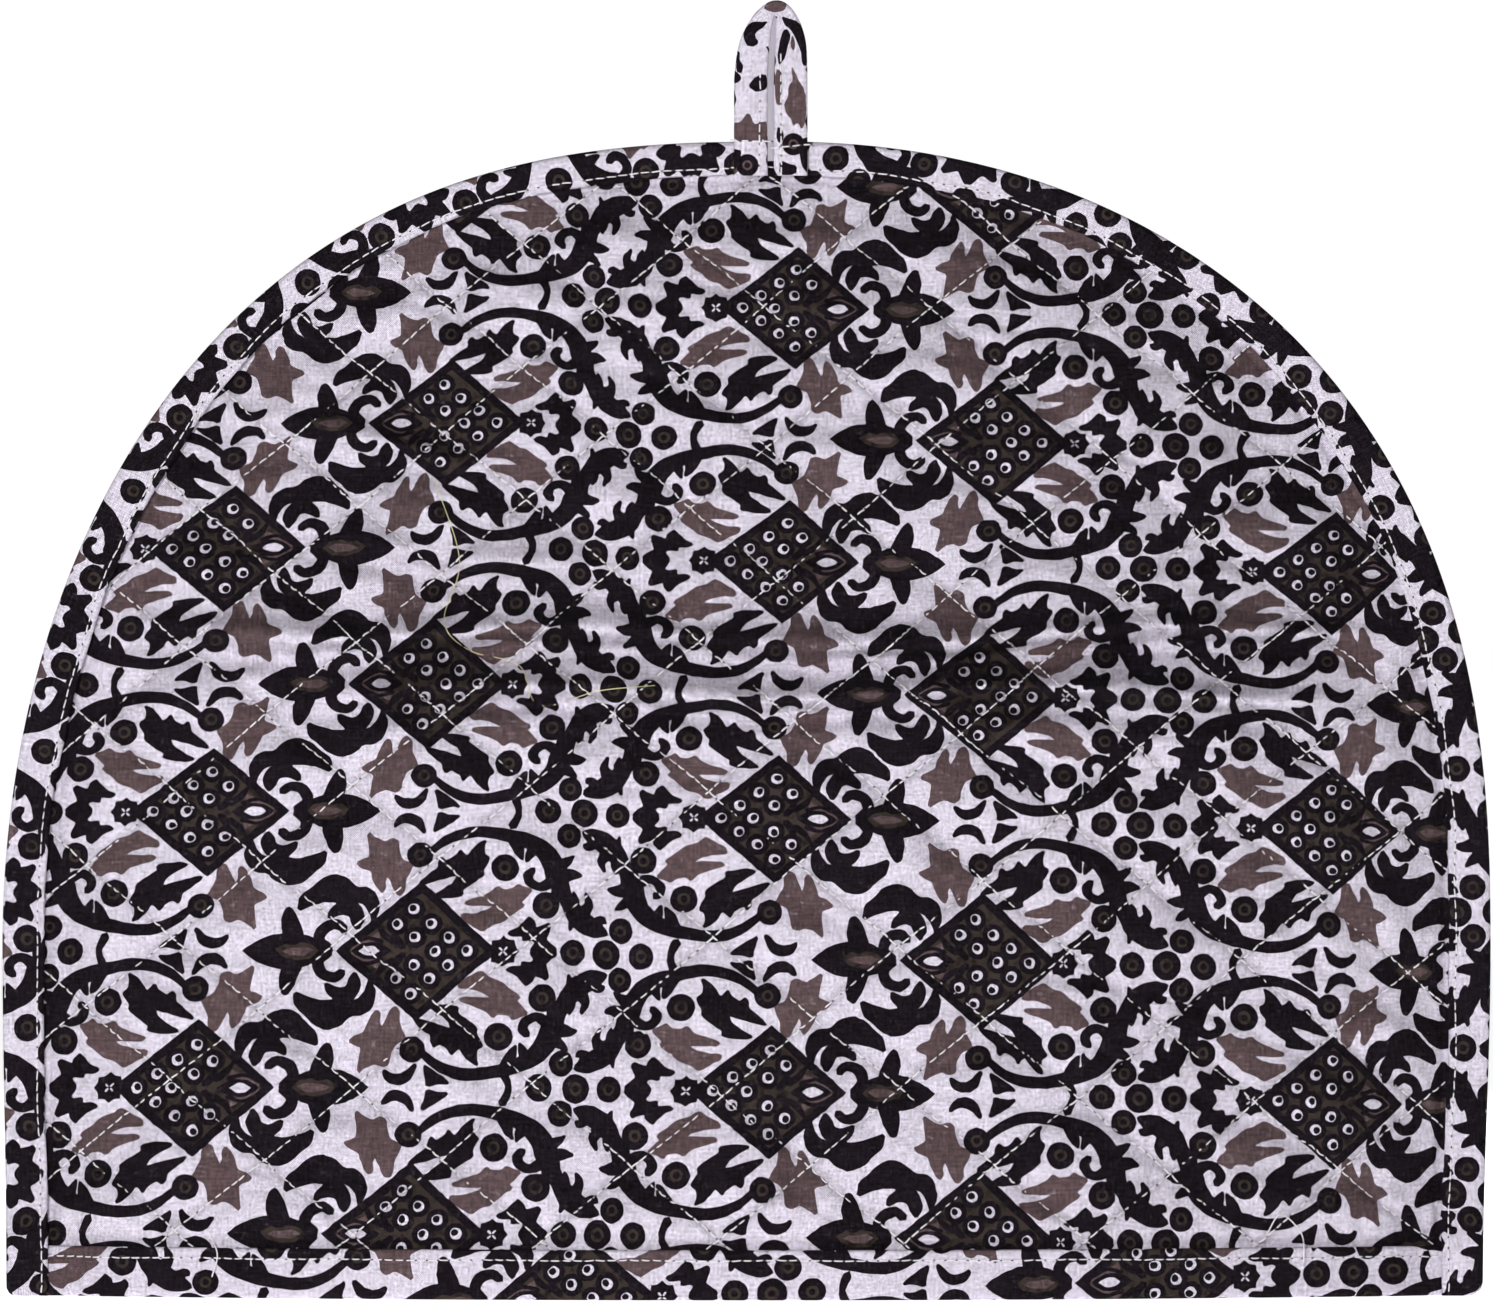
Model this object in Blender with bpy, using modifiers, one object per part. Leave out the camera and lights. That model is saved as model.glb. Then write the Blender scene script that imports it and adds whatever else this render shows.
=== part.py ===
"""A quilted cotton tea cosy, standing open on its hem.

x runs along the front, y from front to back and z up from the hem's bottom. The front panel
faces -y. All lengths are in metres.
"""

import math

import bmesh
import bpy
import numpy as np
from mathutils.geometry import delaunay_2d_cdt

# The cover's outline, seen from the front
COVER_WIDTH = 0.356  # at its widest level
WIDE_LEVEL = 0.083  # that level's height
DOME_RISE = 0.193  # from there to the dome's crest
CREST_SHIFT = 0.008  # the crest stands this far right of the hem's middle
SIDES = {
    # side: (power across, power up, how far the hem tapers, radius of the hem corner)
    -1: (2.61, 2.03, 0.0010, 0.0020),
    +1: (2.09, 2.55, 0.0019, 0.0035),
}
OUTLINE_STEPS = 240

# The two quilted panels
BOW_DEPTH = 0.045  # how far each panel stands off the seam's plane at the hem
BOW_POWER = 0.87
BOW_RAMP = 0.012
EDGE_HALF = 0.0011  # half a panel's thickness where it is pressed flat
PUFF_HALF = 0.0028  # and in the middle of a quilted diamond
PUFF_POWER = 0.6
PUFF_RAMP = 0.012
GAP = 0.0003

# Quilting lines: straight rows at one slope, each given by its distance from the hem's middle
LINE_ANGLE = math.radians(39.5)
FALLING_LINES = (
    -0.129, -0.102, -0.075, -0.0475, -0.0205, 0.0068, 0.0343, 0.0618,
    0.0874, 0.1133, 0.1369, 0.1602, 0.1855, 0.2099, 0.2348, 0.2590,
)
RISING_LINES = (
    -0.1230, -0.0950, -0.0671, -0.0410, -0.0133, 0.0154, 0.0415, 0.0719,
    0.0987, 0.1276, 0.1537, 0.1798, 0.2046, 0.2276, 0.2515, 0.2750,
)
BACK_LINE_SHIFT = 0.0095  # the back panel is quilted this far out of step with the front
DIAMOND_PARTS = 3  # a quilted diamond is this many faces wide
NET_CLEARANCE = 0.004  # from the points in the diamonds to those of the rims
CREASES = (
    # height, depth, half width: soft folds right across a panel
    (0.1580, 0.0014, 0.008),
    (0.1445, 0.0008, 0.007),
)

# Cotton tape: the binding round the dome and the strips along the hem
TAPE = 0.001  # thickness of one doubled tape
BINDING_AT_SIDE = 0.0100  # width of the binding's legs
BINDING_AT_CREST = 0.0082
BINDING_EASES = 0.190  # the height at which the legs begin to narrow
BINDING_STEP = 0.0098
BINDING_ROUND = 0.0014
HEM_HEIGHT = 0.0120
HEM_FLOOR = 0.0012
HEM_ROUND = 0.0004
HEM_STEP = 0.0088
FLANGE = BINDING_AT_SIDE + 0.0006  # the flat rim of a panel that the binding covers
HEM_LINE = HEM_HEIGHT + 0.0006
PANEL_FOOT = HEM_FLOOR + 0.0004

# Half the distance between the panels' middle surfaces in the rim, and what the hem adds to it
RIM_HALF = EDGE_HALF + GAP / 2
LEG_ROOM = TAPE + GAP  # one leg of a hem strip with its clearance
SPLAY = LEG_ROOM + 0.00015
SPLAY_END = 0.029  # the rim is back at RIM_HALF at this height
LEG_END = 0.018  # and the binding has closed in above the hem strips at this one

# Hanging loop of folded tape
LOOP_X = 0.0058
LOOP_TOP = 0.3098
LOOP_HALF_WIDTH = 0.0088
LOOP_SLIT = 0.0005
LOOP_ARCH = 0.0130
LOOP_SLIT_ARCH = 0.0042
LOOP_THICKNESS = 0.0018
LOOP_LEAN = 0.0030
LOOP_GRID = (48, 4)  # faces along and across
LOOP_LEG_SHARE = 0.3  # the share of those along that one leg takes

SIN, COS = math.sin(LINE_ANGLE), math.cos(LINE_ANGLE)
CREST_LEVEL = WIDE_LEVEL + DOME_RISE


def smooth(value, start, end):
    """0 at start, 1 at end, with a soft turn at both."""
    share = np.clip((value - start) / (end - start), 0, 1)
    return share * share * (3 - 2 * share)


def reach(side):
    """From the crest's vertical line to the widest point of one side."""
    return COVER_WIDTH / 2 - side * CREST_SHIFT


def half_outline(side):
    """Points (x, z) of one side, from its hem corner up to the crest."""
    across, up, taper, _ = SIDES[side]
    low = np.linspace(0, WIDE_LEVEL, OUTLINE_STEPS // 4, endpoint=False)
    low_x = side * (COVER_WIDTH / 2 - taper * smooth(WIDE_LEVEL - low, 0, WIDE_LEVEL))
    turn = np.linspace(0, math.pi / 2, OUTLINE_STEPS)
    high_x = CREST_SHIFT + side * reach(side) * np.cos(turn).clip(0) ** (2 / across)
    high_z = WIDE_LEVEL + DOME_RISE * np.sin(turn) ** (2 / up)
    return np.column_stack([np.append(low_x, high_x), np.append(low, high_z)])


def whole_outline():
    """The outline from the left hem corner over the crest to the right one."""
    return np.vstack([half_outline(-1), half_outline(1)[-2::-1]])


OUTLINE = whole_outline()


def corner_recess(side, height):
    """How far the rounded hem corner lies inside the straight side."""
    radius = SIDES[side][3]
    drop = np.clip(radius - height, 0, radius)
    return radius - np.sqrt(radius**2 - drop**2)


def edge_stations():
    """Places along the outline, as rows (x, z, inward x, inward z, recess)."""
    steps = np.linalg.norm(np.diff(OUTLINE, axis=0), axis=1)
    along = np.append(0, np.cumsum(steps))
    length = along[-1]

    def foot_levels(side):
        radius = SIDES[side][3]
        return [0, 0.15 * radius, 0.5 * radius, PANEL_FOOT, radius, HEM_LINE, LEG_END, SPLAY_END]

    count = round((length - 2 * SPLAY_END) / BINDING_STEP)
    middle = np.linspace(SPLAY_END, length - SPLAY_END, count + 1)[1:-1]
    places = np.concatenate([sorted(foot_levels(-1)), middle, sorted(length - d for d in foot_levels(1))])
    x = np.interp(places, along, OUTLINE[:, 0])
    z = np.interp(places, along, OUTLINE[:, 1])
    ahead = np.gradient(OUTLINE, along, axis=0)
    tangent_x = np.interp(places, along, ahead[:, 0])
    tangent_z = np.interp(places, along, ahead[:, 1])
    size = np.hypot(tangent_x, tangent_z)
    recess = [corner_recess(-1 if px < 0 else 1, pz) for px, pz in zip(x, z)]
    return np.column_stack([x, z, tangent_z / size, -tangent_x / size, recess])


STATIONS = edge_stations()


def inset(rows, distance):
    """The stations moved inward."""
    return rows[:, :2] + rows[:, 2:4] * np.reshape(distance, (-1, 1))


def edge_distance(x, z):
    """How far a point of the panel lies from the outline."""
    gaps = np.hypot(x[:, None] - OUTLINE[None, :, 0], z[:, None] - OUTLINE[None, :, 1])
    return gaps.min(axis=1)


def foot_splay(z):
    """What the hem strips' inner legs add between the panels near the foot."""
    return SPLAY * (1 - np.clip((z - HEM_LINE) / (SPLAY_END - HEM_LINE), 0, 1))


def dome_fill(x, z, rim):
    """0 in the middle of the foot and 1 on the outline, drawn in by the width of a rim."""
    fill = np.zeros_like(x)
    for side, (across, up, _, _) in SIDES.items():
        u = np.abs(x - CREST_SHIFT) / (reach(side) - rim)
        v = np.clip(z - WIDE_LEVEL, 0, None) / (DOME_RISE - rim)
        fill = np.where(side * (x - CREST_SHIFT) >= 0, u**across + v**up, fill)
    return fill


def panel_depth(x, z):
    """Distance of a panel's middle surface from the plane of the edge seam."""
    ramp = np.clip((edge_distance(x, z) - FLANGE) / BOW_RAMP, 0, 1)
    depth = BOW_DEPTH * np.clip(1 - dome_fill(x, z, FLANGE) ** BOW_POWER, 0, 1)
    for level, trough, half_width in CREASES:
        depth = depth - trough * np.exp(-(((z - level) / half_width) ** 2))
    return RIM_HALF + foot_splay(z) + ramp * np.clip(depth, 0, None)


def panel_half_thickness(x, z, line_shift):
    """Thin at the quilting lines and the edges, thick in each diamond."""
    falling = np.interp(x * SIN + z * COS - line_shift, FALLING_LINES, range(len(FALLING_LINES)))
    rising = np.interp(z * COS - x * SIN - line_shift, RISING_LINES, range(len(RISING_LINES)))
    puff = np.abs(np.sin(np.pi * falling) * np.sin(np.pi * rising)) ** PUFF_POWER
    off_edge = smooth(edge_distance(x, z), FLANGE, FLANGE + PUFF_RAMP)
    off_hem = smooth(z, HEM_LINE, HEM_LINE + PUFF_RAMP)
    return EDGE_HALF + (PUFF_HALF - EDGE_HALF) * puff * off_edge * off_hem


def hem_places():
    """x of the hem's stations: the rim's two ends, the rim's inner edges and even steps between."""
    ends = [OUTLINE[0, 0] + FLANGE, OUTLINE[-1, 0] - FLANGE]
    count = round((ends[1] - ends[0]) / HEM_STEP)
    return np.linspace(ends[0], ends[1], count + 1)


def diamond_points(line_shift):
    """Points (x, z) on the quilting lines and between them, clear of the panel's rims."""

    def finer(lines):
        steps = np.arange(0, len(lines) - 1 + 1e-9, 1 / DIAMOND_PARTS)
        return np.interp(steps, range(len(lines)), lines) + line_shift

    falling, rising = np.meshgrid(finer(FALLING_LINES), finer(RISING_LINES))
    x = ((falling - rising) / (2 * SIN)).ravel()
    z = ((falling + rising) / (2 * COS)).ravel()
    inside = (z > HEM_LINE + NET_CLEARANCE) & (dome_fill(x, z, 0) < 1)
    x, z = x[inside], z[inside]
    clear = edge_distance(x, z) > FLANGE + NET_CLEARANCE
    return np.column_stack([x[clear], z[clear]])


def panel_net(line_shift):
    """A flat net of triangles over one panel: (points as x, z; triangles)."""
    rows = STATIONS[STATIONS[:, 1] >= PANEL_FOOT - 1e-6]
    outer = inset(rows, TAPE + GAP + rows[:, 4])
    rim = inset(rows, FLANGE)
    foot_x = hem_places()
    outer[[0, -1], 1] = rim[[0, -1], 1] = PANEL_FOOT
    rim[[0, -1], 0] = foot_x[[0, -1]]
    foot = np.column_stack([foot_x[1:-1], np.full(len(foot_x) - 2, PANEL_FOOT)])
    line = foot + [0, HEM_LINE - PANEL_FOOT]
    points = np.vstack([outer, rim, foot, line, diamond_points(line_shift)])

    first_rim, first_foot = len(outer), len(outer) + len(rim)
    first_line = first_foot + len(foot)
    rim_chain = list(range(first_rim, first_foot))
    foot_chain = list(range(first_foot, first_line))
    line_chain = list(range(first_line, first_line + len(line)))
    border = list(range(first_rim)) + rim_chain[-1:] + foot_chain[::-1] + rim_chain[:1]
    at_line = np.argsort(np.abs(rim[:, 1] - HEM_LINE))[:2]  # the rim's two places level with the hem line
    hem_chain = [rim_chain[min(at_line)], *line_chain, rim_chain[max(at_line)]]
    edges = list(zip(rim_chain, rim_chain[1:])) + list(zip(hem_chain, hem_chain[1:]))
    found = delaunay_2d_cdt([tuple(p) for p in points], edges, [border], 1, 1e-7)
    return np.array([tuple(p) for p in found[0]]), [tuple(face) for face in found[2]]


def cloth_material(name, colour, roughness):
    material = bpy.data.materials.new(name)
    material.use_nodes = True
    shader = material.node_tree.nodes["Principled BSDF"]
    shader.inputs["Base Color"].default_value = (*colour, 1)
    shader.inputs["Roughness"].default_value = roughness
    shader.inputs["Metallic"].default_value = 0
    return material


def place(name, mesh, material, collection):
    obj = bpy.data.objects.new(name, mesh)
    mesh.materials.append(material)
    mesh.shade_smooth()
    mesh.set_sharp_from_angle(angle=math.radians(40))
    collection.objects.link(obj)
    return obj


def make_panel(name, side, line_shift, material, collection):
    """One quilted panel; side is -1 for the front and +1 for the back."""
    net, faces = panel_net(line_shift)
    x, z = net[:, 0], net[:, 1]
    y = side * panel_depth(x, z)
    if side > 0:
        faces = [face[::-1] for face in faces]
    mesh = bpy.data.meshes.new(name)
    mesh.from_pydata(np.column_stack([x, y, z]).tolist(), [], faces)
    obj = place(name, mesh, material, collection)
    filling = obj.vertex_groups.new(name="filling")
    for index, half in enumerate(panel_half_thickness(x, z, line_shift)):
        filling.add([index], half / PUFF_HALF, "REPLACE")
    shell = obj.modifiers.new("quilted thickness", "SOLIDIFY")
    shell.thickness = 2 * PUFF_HALF
    shell.offset = 0
    shell.vertex_group = "filling"
    shell.use_quality_normals = True
    return obj


def loft(name, sections, material, collection):
    """A closed strip through like sections, capped at both ends."""
    shape = bmesh.new()
    rings = [[shape.verts.new(point) for point in section] for section in sections]
    for ring, following in zip(rings, rings[1:]):
        for i in range(len(ring)):
            j = (i + 1) % len(ring)
            shape.faces.new((ring[i], ring[j], following[j], following[i]))
    shape.faces.new(rings[0][::-1])
    shape.faces.new(rings[-1])
    bmesh.ops.recalc_face_normals(shape, faces=shape.faces)
    mesh = bpy.data.meshes.new(name)
    shape.to_mesh(mesh)
    shape.free()
    return place(name, mesh, material, collection)


def binding_half(z):
    """Half the binding's thickness, wider where it goes over the hem strips."""
    over_strips = 1 - np.clip((z - HEM_LINE) / (LEG_END - HEM_LINE), 0, 1)
    return RIM_HALF + foot_splay(z) + EDGE_HALF + GAP + TAPE + LEG_ROOM * over_strips


def binding_width(z):
    """The binding's legs are pulled in a little over the crest."""
    return BINDING_AT_SIDE + (BINDING_AT_CREST - BINDING_AT_SIDE) * smooth(z, BINDING_EASES, CREST_LEVEL)


def make_edge_binding(name, material, collection):
    """A tape folded over both panels' rims, from hem corner over the dome to hem corner."""
    sections = []
    for x, z, inward_x, inward_z, recess in STATIONS:
        half, tip = binding_half(z), binding_width(z)
        soft = 0.3 * BINDING_ROUND
        front = [
            (tip, half), (recess + BINDING_ROUND, half),
            (recess + soft, half - soft), (recess, half - BINDING_ROUND),
        ]
        back = [(inward, -y) for inward, y in front[::-1]]
        inner = [
            (tip, TAPE - half), (recess + TAPE, TAPE - half),
            (recess + TAPE, half - TAPE), (tip, half - TAPE),
        ]
        section = [
            (x + inward * inward_x, -y, z + inward * inward_z) for inward, y in front + back + inner
        ]
        sections.append(section)
    return loft(name, sections, material, collection)


def make_hem_strip(name, side, material, collection):
    """A tape folded up round a panel's lower edge; it stands on the flat of its fold."""
    left = OUTLINE[0, 0] + SIDES[-1][3] + TAPE + GAP
    right = OUTLINE[-1, 0] - SIDES[1][3] - TAPE - GAP
    x = np.concatenate([[left], hem_places(), [right]])
    path = np.column_stack([x, side * panel_depth(x, np.zeros_like(x))])
    legs = np.diff(path, axis=0)
    legs /= np.linalg.norm(legs, axis=1)[:, None]
    before, after = np.vstack([legs[:1], legs]), np.vstack([legs, legs[-1:]])
    mean = before + after
    mean /= np.linalg.norm(mean, axis=1)[:, None]
    mitre = 1 / np.sum(mean * before, axis=1)
    across = np.column_stack([-mean[:, 1], mean[:, 0]]) * mitre[:, None]
    inner = EDGE_HALF + GAP
    outer = inner + TAPE
    flat = outer - HEM_ROUND
    profile = [
        (-outer, HEM_HEIGHT), (-outer, HEM_ROUND), (-flat, 0),
        (flat, 0), (outer, HEM_ROUND), (outer, HEM_HEIGHT),
        (inner, HEM_HEIGHT), (inner, HEM_FLOOR), (-inner, HEM_FLOOR), (-inner, HEM_HEIGHT),
    ]
    sections = [
        [(px + out * ax, py + out * ay, height) for out, height in profile]
        for (px, py), (ax, ay) in zip(path, across)
    ]
    return loft(name, sections, material, collection)


def loop_point(along, across):
    """A point (x, z) of the loop: along 0 to 1 up one leg, over and down, across 0 at the slit."""
    foot = CREST_LEVEL - BINDING_AT_CREST
    spring = LOOP_TOP - LOOP_ARCH
    half = LOOP_SLIT / 2 + across * (LOOP_HALF_WIDTH - LOOP_SLIT / 2)
    rise = LOOP_SLIT_ARCH + across * (LOOP_ARCH - LOOP_SLIT_ARCH)
    if min(along, 1 - along) < LOOP_LEG_SHARE:
        climb = min(along, 1 - along) / LOOP_LEG_SHARE
        return LOOP_X + math.copysign(half, along - 0.5), foot + climb * (spring - foot)
    turn = math.pi * (along - LOOP_LEG_SHARE) / (1 - 2 * LOOP_LEG_SHARE)
    return LOOP_X - half * math.cos(turn), spring + rise * math.sin(turn)


def make_hanging_loop(name, material, collection):
    """A narrow tape doubled back beside itself, its ends lying on the binding's front."""
    face = -(binding_half(CREST_LEVEL) + GAP + LOOP_THICKNESS / 2)
    shape = bmesh.new()
    bmesh.ops.create_grid(shape, x_segments=LOOP_GRID[0], y_segments=LOOP_GRID[1], size=0.5)
    for vert in shape.verts:
        x, z = loop_point(vert.co.x + 0.5, vert.co.y + 0.5)
        lean = LOOP_LEAN * smooth(z, CREST_LEVEL + GAP, LOOP_TOP)
        vert.co = (x, face + lean, z)
    bmesh.ops.reverse_faces(shape, faces=shape.faces)
    mesh = bpy.data.meshes.new(name)
    shape.to_mesh(mesh)
    shape.free()
    obj = place(name, mesh, material, collection)
    tape = obj.modifiers.new("tape thickness", "SOLIDIFY")
    tape.thickness = LOOP_THICKNESS
    tape.offset = 0
    return obj


def main():
    for obj in list(bpy.data.objects):
        bpy.data.objects.remove(obj)
    cosy = bpy.data.collections.new("tea_cosy")
    bpy.context.scene.collection.children.link(cosy)
    panel_cloth = cloth_material("printed quilted cotton", (0.42, 0.40, 0.43), 0.9)
    tape_cloth = cloth_material("printed cotton tape", (0.30, 0.28, 0.30), 0.9)
    loop_cloth = cloth_material("folded cotton tape", (0.33, 0.31, 0.33), 0.9)
    make_panel("front_panel", -1, 0, panel_cloth, cosy)
    make_panel("back_panel", 1, BACK_LINE_SHIFT, panel_cloth, cosy)
    make_edge_binding("edge_binding", tape_cloth, cosy)
    make_hem_strip("front_hem_strip", -1, tape_cloth, cosy)
    make_hem_strip("back_hem_strip", 1, tape_cloth, cosy)
    make_hanging_loop("hanging_loop", loop_cloth, cosy)


main()
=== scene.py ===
import math

import bmesh
import bpy
import numpy as np
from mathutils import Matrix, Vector, noise
from mathutils.geometry import delaunay_2d_cdt


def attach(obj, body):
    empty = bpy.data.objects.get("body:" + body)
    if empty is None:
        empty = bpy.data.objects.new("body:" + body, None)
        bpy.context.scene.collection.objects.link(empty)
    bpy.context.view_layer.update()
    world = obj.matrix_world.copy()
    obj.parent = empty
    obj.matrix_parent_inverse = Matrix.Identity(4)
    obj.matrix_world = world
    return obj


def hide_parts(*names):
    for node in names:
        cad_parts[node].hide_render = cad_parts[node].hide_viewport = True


# Quilted tea cosy in block-printed cotton. Lengths are in metres; the front faces -y.

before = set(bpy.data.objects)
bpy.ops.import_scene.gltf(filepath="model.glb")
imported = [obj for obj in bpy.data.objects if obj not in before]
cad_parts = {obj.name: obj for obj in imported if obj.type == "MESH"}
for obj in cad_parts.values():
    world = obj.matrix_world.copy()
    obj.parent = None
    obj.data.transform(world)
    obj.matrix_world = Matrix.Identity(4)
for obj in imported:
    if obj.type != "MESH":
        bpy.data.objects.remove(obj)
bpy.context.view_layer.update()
print("frame loaded")

# the cover's shape, in the same sizes as the solids
coverSet = {
    "width": 0.356,
    "wideLevel": 0.083,
    "domeRise": 0.193,
    "crestShift": 0.008,
    "blendHalf": 0.05,  # how far either side of the crest the two curves run into each other
    # side: power across, power up, taper of the hem, radius of the hem corner
    "sides": {-1: (2.61, 2.03, 0.0010, 0.0020), 1: (2.09, 2.55, 0.0019, 0.0035)},
    "bow": 0.045,  # how far a panel stands out at the middle of its foot
    "bowPower": 0.87,
    "bowRamp": 0.012,
    "edgeHalf": 0.0011,  # half the quilt's thickness on a stitched row and at the edge
    "puffHalf": 0.0028,  # and in the middle of a diamond
    "puffPower": 0.6,
    "puffRamp": 0.012,
    "gap": 0.0003,  # between the quilt and the tapes
    "tape": 0.001,  # the tapes' thickness
    "hemHeight": 0.0120,
    "splayEnd": 0.029,  # the panels part below this level, to make room for the strips
    "legEnd": 0.018,  # the binding lies over the strips below this level
    # width of the binding on the cover's side and at its crest, and where it begins to narrow
    "bindingWidths": (0.0100, 0.0082, 0.190),
}
flange = 0.0106  # the flat rim, under the binding
hemLine = coverSet["hemHeight"] + 0.0006
rimHalf = coverSet["edgeHalf"] + coverSet["gap"] / 2
legRoom = coverSet["tape"] + coverSet["gap"]
splay = legRoom + 0.00015
crestLevel = coverSet["wideLevel"] + coverSet["domeRise"]

quiltSet = {
    "slope": math.radians(39.5),
    # distances of the stitched rows from the middle of the hem
    "falling": (-0.129, -0.102, -0.075, -0.0475, -0.0205, 0.0068, 0.0343, 0.0618,
                0.0874, 0.1133, 0.1369, 0.1602, 0.1855, 0.2099, 0.2348, 0.2590),
    "rising": (-0.1230, -0.0950, -0.0671, -0.0410, -0.0133, 0.0154, 0.0415, 0.0719,
               0.0987, 0.1276, 0.1537, 0.1798, 0.2046, 0.2276, 0.2515, 0.2750),
    "backShift": 0.0095,
    "rowStray": (0.00045, 0.00025),  # how far a row strays, in long waves and in short ones
    # net points from one stitched row to the next, outside and inside, and how they crowd at the rows
    "finePerRow": 20,
    "coarsePerRow": 8,
    "crowding": 0.55,
    # heights of the outer cloth's relief
    "pucker": 0.00100,
    "slack": 0.00205,
    "padRise": 0.00220,
    "drag": 0.00160,
    "edgeDip": 0.00170,  # how far the cloth sinks along the tapes
    "edgeRuffle": 0.00150,
    "thinnest": 0.0008,  # the least between the outer cloth and the lining
    "padPower": 0.65,
    "puckerHalf": 0.20,  # half a pucker's length, in rows
    # waves of slack: how many to the metre across and up, seed, share
    "slackWide": (36, 60, 3.1),
    "slackWaves": ((70, 120, 9.4, 0.95), (170, 260, 5.2, 0.42)),
    "slackOnRows": 0.35,  # how much of the slack is left on the stitched rows
    "dragWaves": ((62, 14.2, 1.0), (118, 21.7, 0.55)),  # waves to the metre, seed, share
    # middle and half width of the dip and of the ruffle, from the tape's edge
    "dipAt": (0.0008, 0.0010),
    "ruffleAt": (0.0055, 0.0035),
}
slopeSin, slopeCos = math.sin(quiltSet["slope"]), math.cos(quiltSet["slope"])

# the folds right across: level, depth, half width
wideCreases = ((0.1580, 0.0014, 0.008), (0.1445, 0.0008, 0.007))
# the sharp ones in them: level, height, half width, from x, to x, slope
fineCreases = (
    (0.1580, 0.0078, 0.0030, -0.155, 0.060, -0.010),
    (0.1565, 0.0074, 0.0028, 0.020, 0.160, 0.020),
    (0.1445, 0.0070, 0.0026, -0.110, 0.150, -0.002),
    (0.1700, 0.0042, 0.0030, -0.120, -0.020, -0.120),
    (0.1900, 0.0038, 0.0032, -0.140, -0.040, -0.160),
    (0.1500, 0.0036, 0.0028, 0.060, 0.150, -0.060),
)


def easeIn(value, start, end):
    share = np.clip((value - start) / (end - start), 0, 1)
    return share * share * (3 - 2 * share)


def reachOf(side):
    return coverSet["width"] / 2 - side * coverSet["crestShift"]


def halfOutline(side, steps=240):
    across, up, taper, _ = coverSet["sides"][side]
    wide = coverSet["wideLevel"]
    low = np.linspace(0, wide, steps // 4, endpoint=False)
    lowX = side * (coverSet["width"] / 2 - taper * easeIn(wide - low, 0, wide))
    turn = np.linspace(0, math.pi / 2, steps)
    highX = coverSet["crestShift"] + side * reachOf(side) * np.cos(turn).clip(0) ** (2 / across)
    highZ = wide + coverSet["domeRise"] * np.sin(turn) ** (2 / up)
    return np.column_stack([np.append(lowX, highX), np.append(low, highZ)])


coverEdge = np.vstack([halfOutline(-1), halfOutline(1)[-2::-1]])


def edgeDistance(x, z):
    found = np.empty(len(x))
    atOnce = 4000  # points, to spare memory
    for first in range(0, len(x), atOnce):
        part = slice(first, first + atOnce)
        acrossX = x[part, None] - coverEdge[None, :, 0]
        acrossZ = z[part, None] - coverEdge[None, :, 1]
        found[part] = np.hypot(acrossX, acrossZ).min(axis=1)
    return found


def footSplay(z):
    return splay * (1 - np.clip((z - hemLine) / (coverSet["splayEnd"] - hemLine), 0, 1))


def domeFill(x, z, rim):
    # the two sides curve differently, and run into each other over the middle
    fill = np.zeros_like(x)
    blend = coverSet["blendHalf"]
    onRight = easeIn(x, coverSet["crestShift"] - blend, coverSet["crestShift"] + blend)
    for side, (across, up, _, _) in coverSet["sides"].items():
        u = np.clip(side * (x - coverSet["crestShift"]), 0, None) / (reachOf(side) - rim)
        v = np.clip(z - coverSet["wideLevel"], 0, None) / (coverSet["domeRise"] - rim)
        fill = fill + u**across + v**up * (onRight if side > 0 else 1 - onRight)
    return fill


def panelDepth(x, z, away=None):
    away = edgeDistance(x, z) if away is None else away
    ramp = np.clip((away - flange) / coverSet["bowRamp"], 0, 1)
    depth = coverSet["bow"] * np.clip(1 - domeFill(x, z, flange) ** coverSet["bowPower"], 0, 1)
    for level, trough, halfWidth in wideCreases:
        depth = depth - trough * np.exp(-(((z - level) / halfWidth) ** 2))
    return rimHalf + footSplay(z) + ramp * np.clip(depth, 0, None)


def rowDrift(x, z, turn):
    # a hand-guided row strays a little
    long, short = quiltSet["rowStray"]
    return long * np.sin(61 * x + 37 * z + 2.1 * turn) + short * np.sin(171 * z - 143 * x + turn)


def rowPlaces(x, z, shift):
    # where a point lies between the falling and the rising rows, counted in rows
    falling, rising = quiltSet["falling"], quiltSet["rising"]
    f = np.interp(x * slopeSin + z * slopeCos + rowDrift(x, z, 0) - shift, falling, range(len(falling)))
    r = np.interp(z * slopeCos - x * slopeSin + rowDrift(x, z, 3) - shift, rising, range(len(rising)))
    return f, r


def tapeWidth(z):
    atSide, atCrest, eases = coverSet["bindingWidths"]
    return atSide + (atCrest - atSide) * easeIn(z, eases, crestLevel)


def softNoise(x, z, scaleX, scaleZ, seed):
    return np.array([noise.noise((a * scaleX, b * scaleZ, seed)) for a, b in zip(x.tolist(), z.tolist())])


def puckersAt(x, z, f, r, shift):
    # short puckers run out from each stitched row
    nearF = np.exp(-((np.abs(f - np.round(f)) / quiltSet["puckerHalf"]) ** 2))
    nearR = np.exp(-((np.abs(r - np.round(r)) / quiltSet["puckerHalf"]) ** 2))
    alongF, alongR = x * slopeCos - z * slopeSin, x * slopeCos + z * slopeSin
    acrossF = softNoise(alongF, f, 240, 3.0, 1.3 + shift)
    acrossR = softNoise(alongR, r, 240, 3.0, 7.7 + shift)
    return nearF * acrossF + nearR * acrossR


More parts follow.
